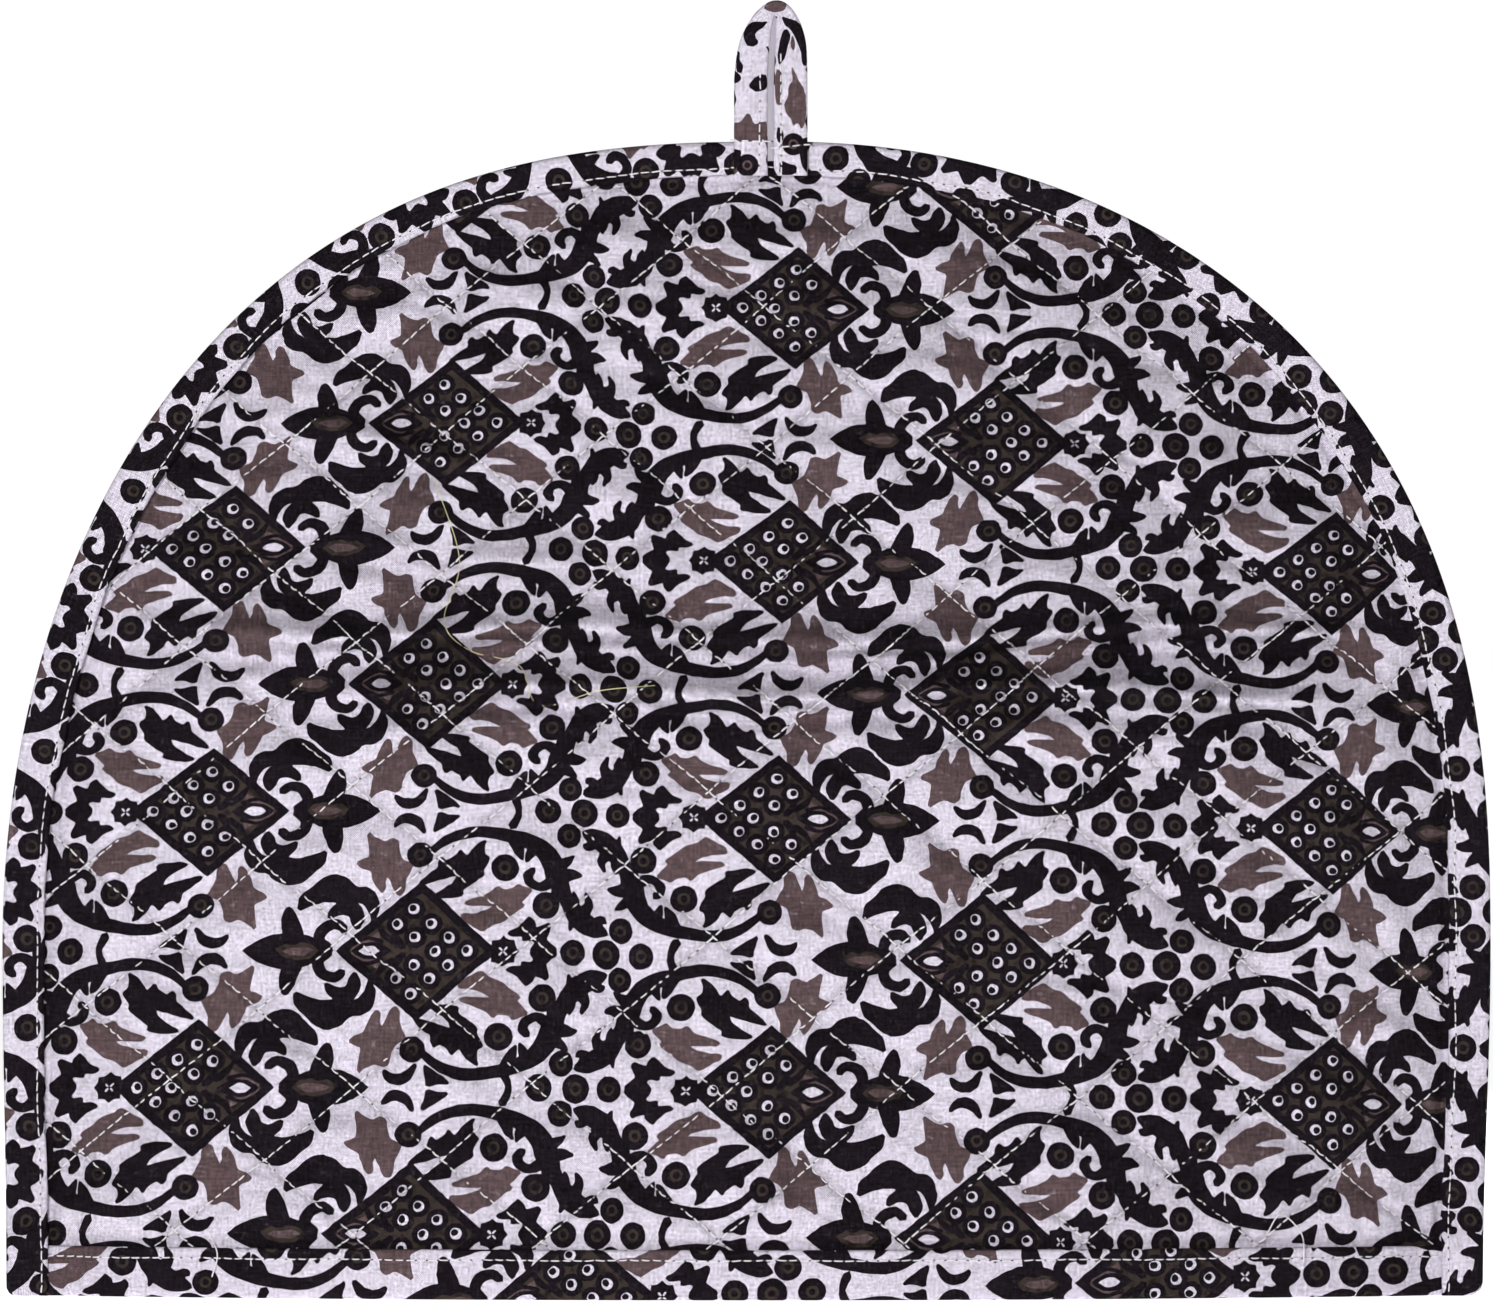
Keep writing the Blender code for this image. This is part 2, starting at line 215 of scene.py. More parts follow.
def slackAt(x, z, shift):
    # the cloth between the rows is a little slack
    turnedX, turnedZ = x * 0.94 + z * 0.34, z * 0.94 - x * 0.34
    across, up, seed = quiltSet["slackWide"]
    slack = softNoise(x, z, across, up, seed + 40 * shift)
    for across, up, seed, share in quiltSet["slackWaves"]:
        slack = slack + share * softNoise(turnedX, turnedZ, across, up, seed + 40 * shift)
    return slack


def dragged(extra, x, z, shift):
    # drag lines, long and shallow, that fall a little to the right
    dragX, dragZ = x * 0.97 - z * 0.24, z * 0.97 + x * 0.24
    for waves, seed, share in quiltSet["dragWaves"]:
        line = 1 - np.abs(softNoise(dragX, dragZ, waves * 0.26, waves, seed + 40 * shift)) / 0.16
        extra = extra - quiltSet["drag"] * share * np.clip(line, 0, 1) ** 1.3
    return extra


def creased(extra, x, z, shift):
    fade = 0.03  # over this length at each end
    for level, height, halfWidth, fromX, toX, slope in fineCreases:
        middle = level + slope * x + 0.0016 * np.sin(55 * x + 900 * level) + shift
        reachX = easeIn(x, fromX, fromX + fade) * (1 - easeIn(x, toX - fade, toX))
        # a sharp fold stands out a little, with a dip under it
        above = (z - middle) / halfWidth
        extra = extra + height * reachX * (np.exp(-(above**2)) - 0.7 * np.exp(-((above + 1.7) ** 2)))
    return extra


def besideTapes(extra, x, z, away, shift):
    # the cloth sinks beside the tapes and ruffles where it comes up again
    beside = np.minimum(away - tapeWidth(z), z - coverSet["hemHeight"])
    dip, ruffle = (np.exp(-(((beside - middle) / half) ** 2))
                   for middle, half in (quiltSet["dipAt"], quiltSet["ruffleAt"]))
    ruffle = ruffle * (0.35 + softNoise(x, z, 330, 330, 6.6 + shift))
    return extra - quiltSet["edgeDip"] * dip + quiltSet["edgeRuffle"] * ruffle


def panelSkin(x, z, shift, face):
    # how far the panel's outer (face 1) or inner (face -1) cloth stands from the seam's plane
    away = edgeDistance(x, z)
    f, r = rowPlaces(x, z, shift)
    offEdge = easeIn(away, flange, flange + coverSet["puffRamp"])
    offHem = easeIn(z, hemLine, hemLine + coverSet["puffRamp"])
    offTapes = offEdge * offHem
    inDiamond = np.abs(np.sin(np.pi * f) * np.sin(np.pi * r))
    puff = inDiamond ** coverSet["puffPower"]
    half = coverSet["edgeHalf"] + (coverSet["puffHalf"] - coverSet["edgeHalf"]) * puff * offTapes
    depth = panelDepth(x, z, away)
    if face < 0:
        return depth - half
    extra = quiltSet["pucker"] * puckersAt(x, z, f, r, shift)
    onRows = quiltSet["slackOnRows"]
    extra = extra + quiltSet["slack"] * slackAt(x, z, shift) * (onRows + (1 - onRows) * puff)
    extra = extra + quiltSet["padRise"] * inDiamond ** quiltSet["padPower"]
    extra = creased(dragged(extra, x, z, shift), x, z, shift)
    extra = besideTapes(extra * offTapes, x, z, away, shift)
    # it never sinks as far as the lining behind it
    return depth + half + np.maximum(extra, quiltSet["thinnest"] - 2 * half)


# the print, drawn square by square on chart paper
printSet = {
    "square": 0.0002392,  # one square of the chart
    "repeatAcross": 0.138,
    "repeatUp": 0.0677,
    "turnedBy": (0.0468, 0.0328),  # from a motif to the turned one beside it
    "unsteady": 0.00022,  # how far the block's edge wavers
    "fray": 0.00022,  # how far its threads fray it
    "frayStep": 4.6,  # squares from one frayed point to the next
    "spread": 0.8,  # squares that the ink runs past the block's edge
    "reach": (320, 140),  # squares that a motif spans either way, across and up
    "netClear": 0.00045,  # net points nearer than this to an outline are dropped
}
groundInk, blackInk, brownInk, oliveInk = range(4)

# strokes are rows of (along, up, width) and shapes rows of (along, up), mostly for the upper half
vineStrokes = (
    ((-20, 103, 7), (-34, 114, 9), (-52, 122, 11), (-72, 124, 11.5), (-92, 121, 12.5), (-112, 116, 14.5),
     (-130, 107, 18), (-142, 94, 21), (-149, 78, 24), (-155, 62, 17), (-162, 50, 17), (-171, 38, 22),
     (-184, 29, 21), (-196, 24, 16), (-205, 21, 6)),
    ((-104, 116, 14), (-109, 103, 10), (-113, 95, 3)),
    ((-124, 109, 13), (-120, 100, 9), (-117, 93, 3)),
    ((-144, 72, 13), (-132, 66, 9), (-122, 70, 9), (-119, 78, 10), (-124, 84, 7)),
    ((-150, 70, 15), (-147, 61, 8), (-146, 55, 3)),
    ((-154, 78, 15), (-166, 80, 11), (-175, 79, 4)),
    ((-150, 88, 14), (-161, 95, 8), (-166, 99, 3)),
    ((-176, 38, 17), (-184, 50, 10), (-180, 61, 3)),
    ((-167, 44, 13), (-169, 54, 8), (-167, 62, 3)),
    ((-168, 36, 12), (-166, 29, 7), (-164, 23, 3)),
    ((-192, 30, 13), (-200, 35, 9), (-204, 33, 4)),
    ((297, 16, 9), (302, 6, 7), (303, 0, 6)),
)
budHooks = (
    ((64, 21, 8), (72, 27, 10), (84, 23, 11), (89, 11, 11), (80, 0, 12)),
    ((177, 16, 4), (183, 10, 9), (192, 8, 11), (201, 12, 10), (208, 23, 4)),
)
blackShapes = {
    "crown": ((-151, 3), (-145, 8), (-139, 12), (-140, 16), (-144, 25), (-141, 29), (-137, 27), (-128, 24),
              (-127, 30), (-121, 35), (-118, 32), (-109, 23), (-99, 19), (-104, 15), (-115, 16), (-115, 10),
              (-124, 12), (-128, 9), (-123, 2), (-123, -1), (-150, -1)),
    "leaf": ((-76, 116), (-68, 112), (-62, 106), (-57, 98), (-53, 100), (-49, 105), (-46, 99), (-41, 95),
             (-36, 93), (-31, 97), (-28, 92), (-28, 86), (-20, 80), (-11, 72), (-9, 68), (-18, 70),
             (-32, 74), (-48, 79), (-44, 70), (-32, 62), (-22, 56), (-30, 54), (-44, 55), (-54, 57),
             (-53, 63), (-64, 70), (-74, 78), (-73, 84), (-77, 90), (-80, 96), (-74, 100), (-73, 108)),
    "clump": ((37, 26), (30, 43), (34, 58), (43, 65), (54, 65), (64, 75), (77, 79), (90, 74), (99, 64),
              (109, 56), (111, 41), (97, 47), (83, 51), (71, 50), (80, 41), (81, 32), (68, 38), (60, 36),
              (57, 27), (51, 20), (45, 32), (48, 42), (54, 50), (46, 47), (40, 38)),
    "wedge": ((216, 24), (226, 18), (238, 10), (244, 4), (234, 5), (221, 1), (220, 10)),
    "petal": ((103, 12), (107, 25), (112, 37), (118, 45), (123, 43), (126, 30), (124, 18), (122, 8)),
}
brownShapes = {
    "lowLeaf": ((-124, 63), (-114, 66), (-109, 69), (-104, 64), (-94, 63), (-88, 67), (-82, 60), (-72, 56),
                (-62, 53), (-55, 50), (-58, 47), (-70, 47), (-86, 47), (-80, 42), (-66, 38), (-53, 38),
                (-54, 32), (-62, 28), (-72, 22), (-76, 21), (-84, 27), (-95, 30), (-104, 38), (-116, 46),
                (-112, 50), (-118, 56)),
    "highLeaf": ((46, 124), (43, 108), (42, 97), (49, 94), (55, 91), (50, 86), (40, 82), (38, 74), (33, 64),
                 (28, 59), (25, 64), (26, 71), (23, 77), (19, 70), (14, 58), (9, 56), (5, 62), (5, 72),
                 (0, 82), (-3, 89), (3, 91), (9, 94), (13, 104), (14, 114), (20, 117), (28, 113), (37, 117)),
}
diamondShapes = {False: ((-84, 0), (-4, 68), (71, 0)), True: ((-90, 0), (-12, 70), (72, 0))}
diamondTip = ((30, 19), (57, 3), (57, -3), (30, -19), (24, 0))
diamondTwigs = (
    ((4, 4, 6), (11, 11, 7), (15, 24, 3)),
    ((14, 9, 6), (24, 16, 6), (31, 26, 3)),
    ((26, 9, 4), (40, 13, 3), (50, 9, 2)),
)
podOlive = ((88, 0), (95, 7), (106, 9), (113, 6), (121, 8), (131, 2), (125, -5), (111, -9), (97, -8))
podBrown = ((93, 1), (101, 5), (109, 4), (118, 3), (124, 0), (115, -4), (102, -5))
# the places of the flower, the rings and the dots, and their radii
flowerPlace = {False: -88, True: -96}
flowerRadius = 13.5
ringPlaces = ((-61, 0), (-42, 14), (-28, 0), (-23, 28), (-7, 14), (-5, 43), (11, 27))
ringRadii = (11.6, 5.7, 3.7)  # disc, ring and dot
dotPlaces = ((-168, 0, 13), (-205, 0, 14.5), (-244, 0, 13), (-138, 47, 13.5), (-95, 86, 13.5),
             (-9, 99, 12.5), (-221, 25, 12.5))


def smoothLine(rows, steps):
    # a soft curve through the rows
    rows = np.array(rows, float)
    padded = np.vstack([2 * rows[0] - rows[1], rows, 2 * rows[-1] - rows[-2]])
    share = np.linspace(0, 1, steps, endpoint=False)[:, None]
    found = []
    for a, b, c, d in zip(padded, padded[1:], padded[2:], padded[3:]):
        found.append(0.5 * (2 * b + (c - a) * share + (2 * a - 5 * b + 4 * c - d) * share**2
                            + (3 * b - a - 3 * c + d) * share**3))
    return np.vstack(found + [rows[-1:]])


def strokePieces(rows, steps=3):
    # a stroke of changing width, parted wherever it bends too tightly for its width
    line = smoothLine(rows, steps)
    middle, half = line[:, :2], np.maximum(line[:, 2] + printSet["spread"], 0.8)[:, None] / 2
    ahead = np.gradient(middle, axis=0)
    ahead /= np.linalg.norm(ahead, axis=1)[:, None]
    beside = np.column_stack([-ahead[:, 1], ahead[:, 0]])
    left, right = middle + beside * half, middle - beside * half
    step = np.diff(middle, axis=0)
    leastStep = 0.1 * (step**2).sum(axis=1)
    forward = [(np.diff(rim, axis=0) * step).sum(axis=1) > leastStep for rim in (left, right)]
    heading = np.unwrap(np.arctan2(ahead[:, 1], ahead[:, 0]))
    sharpestTurn = 1.7  # radians within one piece
    cuts = [0]
    for i in range(1, len(line) - 1):
        tight = not all(rim[i] and rim[i - 1] for rim in forward)
        if tight or abs(heading[i] - heading[cuts[-1]]) > sharpestTurn:
            cuts.append(i)
    cuts.append(len(line) - 1)
    pieces = [np.vstack([left[a:b + 1], right[a:b + 1][::-1]]) for a, b in zip(cuts, cuts[1:])]
    pieces[0] = np.vstack([pieces[0], middle[0] - ahead[0] * half[0] * 0.8])
    tip = cuts[-1] - cuts[-2] + 1
    pieces[-1] = np.insert(pieces[-1], tip, middle[-1] + ahead[-1] * half[-1] * 0.8, axis=0)
    return pieces


def unfolded(shape):
    # a short piece's corners in order round their middle, so that a tight bend can't fold it over itself
    if len(shape) > 5:
        return shape
    away = shape - shape.mean(axis=0)
    return shape[np.argsort(np.arctan2(away[:, 1], away[:, 0]))]


def cutCorners(shape, cut=0.2):
    here = np.array(shape, float)
    step = np.roll(here, -1, axis=0) - here
    return np.stack([here + step * cut, here + step * (1 - cut)], axis=1).reshape(-1, 2)


def roundShape(x, y, radius, count, lobe=0.0, lobes=8):
    turn = np.linspace(0, 2 * math.pi, count, endpoint=False)
    wide = radius * (1 + lobe * np.cos(lobes * turn))
    return np.column_stack([x + wide * np.cos(turn), y + wide * np.sin(turn)])


def lensShape(start, end, half, count=8):
    u = np.linspace(-1, 1, count + 1)
    rise = half * (1 - np.abs(u) ** 2.2)
    x = (start + end) / 2 + (end - start) / 2 * u
    return np.vstack([np.column_stack([x, rise]), np.column_stack([x, -rise])[-2:0:-1]])


def roughened(shape, step):
    # the outline in short steps, so that the cloth's threads can fray the ink's edge
    following = np.roll(shape, -1, axis=0)
    rows = []
    for here, there in zip(shape, following):
        count = max(1, round(float(np.hypot(*(there - here))) / step))
        rows.append(here + (there - here) * (np.arange(count) / count)[:, None])
    return np.vstack(rows)


def doubleArea(shape):
    following = np.roll(shape, -1, axis=0)
    return float(np.sum(shape[:, 0] * following[:, 1] - following[:, 0] * shape[:, 1]))


def turnedLeft(shape):
    # the same outline, run anticlockwise
    return shape if doubleArea(shape) > 0 else shape[::-1]


def spreadOut(shape, by):
    shape = turnedLeft(shape)
    ahead = np.roll(shape, -1, axis=0) - np.roll(shape, 1, axis=0)
    ahead /= np.linalg.norm(ahead, axis=1)[:, None]
    return shape + by * np.column_stack([ahead[:, 1], -ahead[:, 0]])


# Each outline is (layer, ink, its points, whether it is a piece of a stroke). Where they overlap, the
# highest layer shows.
def inked(layer, colour, shape, mirrored=True):
    shape = roughened(np.array(shape, float), printSet["frayStep"])
    if layer < 3:
        shape = spreadOut(shape, printSet["spread"])
    return [(layer, colour, shape * (1, side), False) for side in ((1, -1) if mirrored else (1,))]


def inkedStroke(layer, colour, rows, mirrored=True, steps=3):
    sides = (1, -1) if mirrored else (1,)
    return [(layer, colour, piece * (1, side), True) for piece in strokePieces(rows, steps) for side in sides]


def scrollOutlines():
    drawn = []
    for shape in brownShapes.values():
        drawn += inked(1, brownInk, cutCorners(shape))
    for shape in blackShapes.values():
        drawn += inked(2, blackInk, cutCorners(shape))
    for rows in vineStrokes + budHooks:
        drawn += inkedStroke(2, blackInk, rows)
    return drawn


def diamondOutlines(half):
    half = np.array(half, float)
    diamond = np.vstack([half, half[1] * (1, -1)])
    middle = np.array((half[1, 0], 0.0))
    drawn = inked(2, blackInk, diamond, False)
    drawn += inked(3, oliveInk, middle + (diamond - middle) * 0.85, False)
    drawn += inked(4, brownInk, diamondTip, False)
    for rows in diamondTwigs:
        drawn += inkedStroke(5, blackInk, rows)
    drawn += inked(6, blackInk, lensShape(16, 57, 9.0, 10), False)
    drawn += inked(7, groundInk, lensShape(28, 49, 4.9, 10), False)
    disc, ring, dot = ringRadii
    for x, y in ringPlaces:
        drawn += inked(4, blackInk, roundShape(x, y, disc, 10), y > 0)
        drawn += inked(6, groundInk, roundShape(x, y, ring, 12), y > 0)
        drawn += inked(7, blackInk, roundShape(x + 1.1, y + 0.9, dot, 8), y > 0)
    return drawn


def flowerOutlines(x):
    drawn = inked(2, blackInk, roundShape(x, 0, flowerRadius, 24, 0.12), False)
    for quarter in range(4):
        turn = math.pi * (0.25 + quarter / 2)
        along, up = math.cos(turn), math.sin(turn)
        cross = ((x + along * 1.6, up * 1.6, 0.9), (x + along * 5, up * 5, 1.3))
        drawn += inkedStroke(6, groundInk, cross, False, 1)
    return drawn


def podOutlines():
    drawn = inked(2, blackInk, lensShape(76, 161, 18, 12), False)
    drawn += inked(3, oliveInk, podOlive, False)
    drawn += inked(4, brownInk, podBrown, False)
    return drawn


def dotOutlines():
    drawn = []
    for x, y, radius in dotPlaces:
        drawn += inked(2, blackInk, roundShape(x, y, radius, 16), y > 0)
        drawn += inked(3, oliveInk, roundShape(x, y, radius * 0.50, 12), y > 0)
        drawn += inked(4, blackInk, roundShape(x, y, radius * 0.27, 8), y > 0)
    return drawn


def motifOutlines(turned):
    # the motif and its turned twin differ a little
    diamond, flower = diamondOutlines(diamondShapes[turned]), flowerOutlines(flowerPlace[turned])
    return scrollOutlines() + diamond + flower + podOutlines() + dotOutlines()


motifs = {turned: motifOutlines(turned) for turned in (False, True)}


def strayAt(s, t, scale, seeds):
    return [softNoise(s, t, scale, scale, seed) for seed in seeds]


def printedShapes(low, high, toFlat, origin):
    # every motif that may reach the window from low to high in print places, laid out flat by toFlat
    found = []
    square, repeats = printSet["square"], (printSet["repeatAcross"], printSet["repeatUp"])
    for turned, motif in motifs.items():
        start = [place + (by if turned else 0) for place, by in zip(origin, printSet["turnedBy"])]
        columns, rows = (
            range(math.floor((low[i] - start[i] - printSet["reach"][i] * square) / repeats[i]),
                  math.ceil((high[i] - start[i] + printSet["reach"][i] * square) / repeats[i]) + 1)
            for i in (0, 1))
        for column in columns:
            for row in rows:
                for layer, colour, shape, piece in motif:
                    s = start[0] + column * repeats[0] + shape[:, 0] * square * (-1 if turned else 1)
                    t = start[1] + row * repeats[1] + shape[:, 1] * square
                    if s.max() < low[0] or s.min() > high[0] or t.max() < low[1] or t.min() > high[1]:
                        continue
                    waverS, waverT = strayAt(s, t, 130, (2.5, 8.5))
                    frayS, frayT = strayAt(s, t, 900, (4.5, 6.5))
                    s = s + printSet["unsteady"] * waverS + printSet["fray"] * frayS
                    t = t + printSet["unsteady"] * waverT + printSet["fray"] * frayT
                    flat = np.column_stack(toFlat(s, t))
                    found.append((layer, colour, unfolded(flat) if piece else flat))
    return found


def clearOf(net, kept):
    # the net's points that don't lie close to a printed outline
    cell = printSet["netClear"]
    near = set()
    for _, _, shape in kept:
        following = np.roll(shape, -1, axis=0)
        for share in (0, 0.25, 0.5, 0.75):
            places = np.floor((shape + (following - shape) * share) / cell).astype(int)
            near.update(map(tuple, places.tolist()))
    netCells = np.floor(net / cell).astype(int).tolist()
    return net[[tuple(place) not in near for place in netCells]]


def cutFlat(border, net, kept):
    # the flat net cut along every outline: its points, its faces, and the outlines that each face lies in
    points, faces = [], []
    for ring in [border] + [shape for _, _, shape in kept]:
        faces.append(list(range(len(points), len(points) + len(ring))))
        points += [tuple(p) for p in ring.tolist()]
    points += [tuple(p) for p in net.tolist()]
    made = delaunay_2d_cdt(points, [], faces, 0, 1e-7, True)
    return np.array([tuple(p) for p in made[0]]), made[2], made[5]


def hiddenOutlines(flat, faces, owners, kept):
    # the border, and any frayed outline that crosses itself, as it would spill over the whole cloth
    spread = np.zeros(len(kept) + 1)
    for face, owned in zip(faces, owners):
        if owned:
            spread[owned] += doubleArea(flat[face])
    allowed = [0] + [2 * doubleArea(shape) + 1e-7 for _, _, shape in kept]
    return set(np.flatnonzero(spread > allowed).tolist())


def addInks(mesh, inks, sizes):
    # the three inks as corner colours: black in red, brown in green, olive in blue
    masks = np.zeros((4, 4), np.float32)
    masks[1:, :3] = np.eye(3)
    masks[:, 3] = 1
    attribute = mesh.color_attributes.new("inks", "FLOAT_COLOR", "CORNER")
    attribute.data.foreach_set("color", masks[np.repeat(inks, sizes)].ravel())


def printedMesh(name, border, net, shapes, toSpace, flipped=False, rowsAt=None):
    # cuts the cloth's flat net along every printed outline, then lifts it into its place
    border = turnedLeft(border)
    low, high = border.min(axis=0), border.max(axis=0)
    kept = [(layer, colour, turnedLeft(shape)) for layer, colour, shape in shapes
            if (shape.max(axis=0) > low).all() and (shape.min(axis=0) < high).all()]
    flat, faces, owners = cutFlat(border, clearOf(net, kept), kept)
    hidden = hiddenOutlines(flat, faces, owners, kept)
    if len(hidden) > 1:
        print(f"{name}: {len(hidden) - 1} outlines left out")
    cells, inks = [], []
    for face, owned in zip(faces, owners):
        if 0 not in owned:
            continue
        top = max((kept[owner - 1][:2] for owner in owned if owner not in hidden), default=(0, groundInk))
        cells.append(face[::-1] if flipped else face)
        inks.append(top[1])
    used = np.unique([corner for face in cells for corner in face])
    renumbered = np.zeros(len(flat), int)
    renumbered[used] = np.arange(len(used))
    flat = flat[used]
    cells = [[int(renumbered[corner]) for corner in face] for face in cells]
    mesh = bpy.data.meshes.new(name)
    mesh.from_pydata(np.column_stack(toSpace(flat[:, 0], flat[:, 1])).tolist(), [], cells)
    corners = np.array([corner for face in cells for corner in face])
    addMaps(mesh, flat[corners], low, high)
    if rowsAt:
        rows = np.column_stack(rowsAt(flat[:, 0], flat[:, 1]))[corners]
        mesh.uv_layers.new(name="rows").data.foreach_set("uv", rows.astype(np.float32).ravel())
    addInks(mesh, inks, [len(face) for face in cells])
    print(f"{name}: {len(flat)} points, {len(cells)} faces, {len(kept)} printed shapes")
    return finishedMesh(mesh)


def addMaps(mesh, places, low, high):
    # OFBake fills the unit square; threads holds the flat place in metres
    whole = mesh.uv_layers.new(name="OFBake")
    whole.data.foreach_set("uv", (0.01 + 0.98 * (places - low) / (high - low)).astype(np.float32).ravel())
    threads = mesh.uv_layers.new(name="threads")
    threads.data.foreach_set("uv", places.astype(np.float32).ravel())


def linked(name, data):
    obj = bpy.data.objects.new(name, data)
    bpy.context.scene.collection.objects.link(obj)
    return obj


def finishedMesh(mesh):
    mesh.shade_smooth()
    return linked(mesh.name, mesh)


class Flow:
    # a node's output, with the sums that the materials use
    def __init__(self, tree, socket):
        self.tree, self.socket = tree, socket

    def sum(self, operation, other=0.0, swapped=False):
        first, second = (other, self) if swapped else (self, other)
        return addNode(self.tree, "ShaderNodeMath", {"operation": operation}, {0: first, 1: second})

    def __add__(self, other):
        return self.sum("ADD", other)

    def __radd__(self, other):
        return self.sum("ADD", other, True)

    def __sub__(self, other):
        return self.sum("SUBTRACT", other)

    def __rsub__(self, other):
        return self.sum("SUBTRACT", other, True)

    def __mul__(self, other):
        return self.sum("MULTIPLY", other)

    def __rmul__(self, other):
        return self.sum("MULTIPLY", other, True)

    def __truediv__(self, other):
        return self.sum("DIVIDE", other)

    def __pow__(self, other):
        return self.sum("POWER", other)

    def sine(self):
        return self.sum("SINE")

    def clipped(self):
        node = self.sum("ADD")
        node.socket.node.use_clamp = True
        return node


def addNode(tree, kind, settings=None, sockets=None, output=0):
    node = tree.nodes.new(kind)
    for name, value in (settings or {}).items():
        if name == "stops":
            ramp = node.color_ramp
            while len(ramp.elements) < len(value):
                ramp.elements.new(0.5)
            for element, (place, colour) in zip(ramp.elements, value):
                element.position, element.color = place, (*colour, 1)
        else:
            setattr(node, name, value)
    for name, value in (sockets or {}).items():
        if isinstance(value, Flow):
            tree.links.new(value.socket, node.inputs[name])
        else:
            node.inputs[name].default_value = value
    return Flow(tree, node.outputs[output])


def mixed(tree, factor, first, second, blend="MIX"):
    colours = [value if isinstance(value, Flow) else (*value, 1) for value in (first, second)]
    return addNode(tree, "ShaderNodeMix", {"data_type": "RGBA", "blend_type": blend},
                   {0: factor, 6: colours[0], 7: colours[1]}, 2)


def shaded(tree, colour, shade):
    grey = addNode(tree, "ShaderNodeCombineColor", None, {0: shade, 1: shade, 2: shade})
    return mixed(tree, 1.0, colour, grey, "MULTIPLY")


def toned(colour, by):
    return tuple(value * by for value in colour)


def cloudsOn(tree, place, seed, scale, detail, roughness=0.5):
    return addNode(tree, "ShaderNodeTexNoise", {"noise_dimensions": "4D"},
                   {"Vector": place, "W": seed, "Scale": scale, "Detail": detail, "Roughness": roughness})


def newMaterial(name, roughness, specular=0.15, sheen=0.0):
    material = bpy.data.materials.new(name)
    material.use_nodes = True
    tree = material.node_tree
    shader = tree.nodes["Principled BSDF"]
    shader.inputs["Roughness"].default_value = roughness
    shader.inputs["Specular IOR Level"].default_value = specular
    shader.inputs["Sheen Weight"].default_value = sheen
    return material, tree, shader


clothSet = {
    "threadsPerMetre": 1900,
    "grain": 2.8,  # how unevenly the threads are spun
    "ground": (0.617, 0.570, 0.662),
    "black": (0.0064, 0.0045, 0.0066),
    "brown": (0.071, 0.043, 0.044),
    "olive": (0.040, 0.030, 0.026),
    "plain": (0.66, 0.62, 0.70),
    "speck": (0.10, 0.08, 0.10),
    # the cloth's middle shade, and how much the weave, the slubs and the clouds change it
    "groundShade": (0.96, 0.38, 0.70, 0.14),
    "plainShade": (0.95, 0.06, 0.28, 0.14),
    # painted shade along the stitched rows, where the seams' valleys would fall in shadow
    "seamPaintedShade": (0.16, 0.22),  # how much darker the stitched rows are, and how much more in patches
    "speckCover": 0.40,
    # the two tones that each ink varies between, as shares of its colour
    "brownTones": (0.55, 1.62),
    "oliveTones": (1.0, 0.35),
    "blackTones": (0.35, 2.7),
}


def weave(tree, seed):
    # place on the cloth, the light and dark of its threads, and the slubs along them
    place = addNode(tree, "ShaderNodeUVMap", {"uv_map": "threads"})
    split = addNode(tree, "ShaderNodeSeparateXYZ", None, {0: place})
    s, t = split, Flow(tree, split.socket.node.outputs[1])
    count = clothSet["threadsPerMetre"]
    stray = cloudsOn(tree, place, seed, 260.0, 2.0)
    warp = (s * (count * math.tau) + stray * 9).sine()
    weft = (t * (count * math.tau) + stray * 11).sine()
    slubs = []
    for long, fine in ((0.15, 0.9), (0.9, 0.15)):
        stretched = {0: s * (count * long), 1: t * (count * fine), 2: seed}
        along = addNode(tree, "ShaderNodeCombineXYZ", None, stretched)
        slubs.append(addNode(tree, "ShaderNodeTexNoise", None,
                             {"Vector": along, "Scale": 1.0, "Detail": 2.0}))
    grain = cloudsOn(tree, place, seed + 11.0, 1500.0, 1.0)
    return place, warp * weft + (grain - 0.5) * clothSet["grain"], slubs[0] + slubs[1] - 1.0


def shadeOf(amounts, knit, slub, cloudy):
    middle, byKnit, bySlub, byCloud = amounts
    return middle + knit * byKnit + slub * bySlub + (cloudy - 0.5) * byCloud


def clothBump(tree, shader, height, distance=0.00010, strength=0.6):
    bump = addNode(tree, "ShaderNodeBump", None,
                   {"Strength": strength, "Distance": distance, "Height": height})
    tree.links.new(bump.socket, shader.inputs["Normal"])


def seamCloseness(tree):
    # 1 on a stitched row, falling off beside it, which is where the painted shade goes, and ripples that run
    # across the row
    rows = addNode(tree, "ShaderNodeUVMap", {"uv_map": "rows"})
    split = addNode(tree, "ShaderNodeSeparateXYZ", None, {0: rows})
    f, r = split, Flow(tree, split.socket.node.outputs[1])
    close = []
    for across in (f, r):
        away = ((across + 0.5).sum("FRACT") - 0.5).sum("ABSOLUTE")
        close.append((1.0 - away * 14.0).clipped())
    tall = addNode(tree, "ShaderNodeCombineXYZ", None, {0: f * 7.0, 1: r * 1.2})
    flatways = addNode(tree, "ShaderNodeCombineXYZ", None, {0: f * 1.2, 1: r * 7.0, 2: 4.0})
    ripples = [addNode(tree, "ShaderNodeTexNoise", None, {"Vector": place, "Scale": 1.0, "Detail": 3.0})
               for place in (flatways, tall)]
    return close[0].sum("MAXIMUM", close[1]), close[0] * ripples[0] + close[1] * ripples[1]


def inkMasks(tree):
    inks = addNode(tree, "ShaderNodeAttribute", {"attribute_type": "GEOMETRY", "attribute_name": "inks"})
    split = addNode(tree, "ShaderNodeSeparateColor", None, {0: inks})
    return [Flow(tree, split.socket.node.outputs[i]) for i in range(3)]


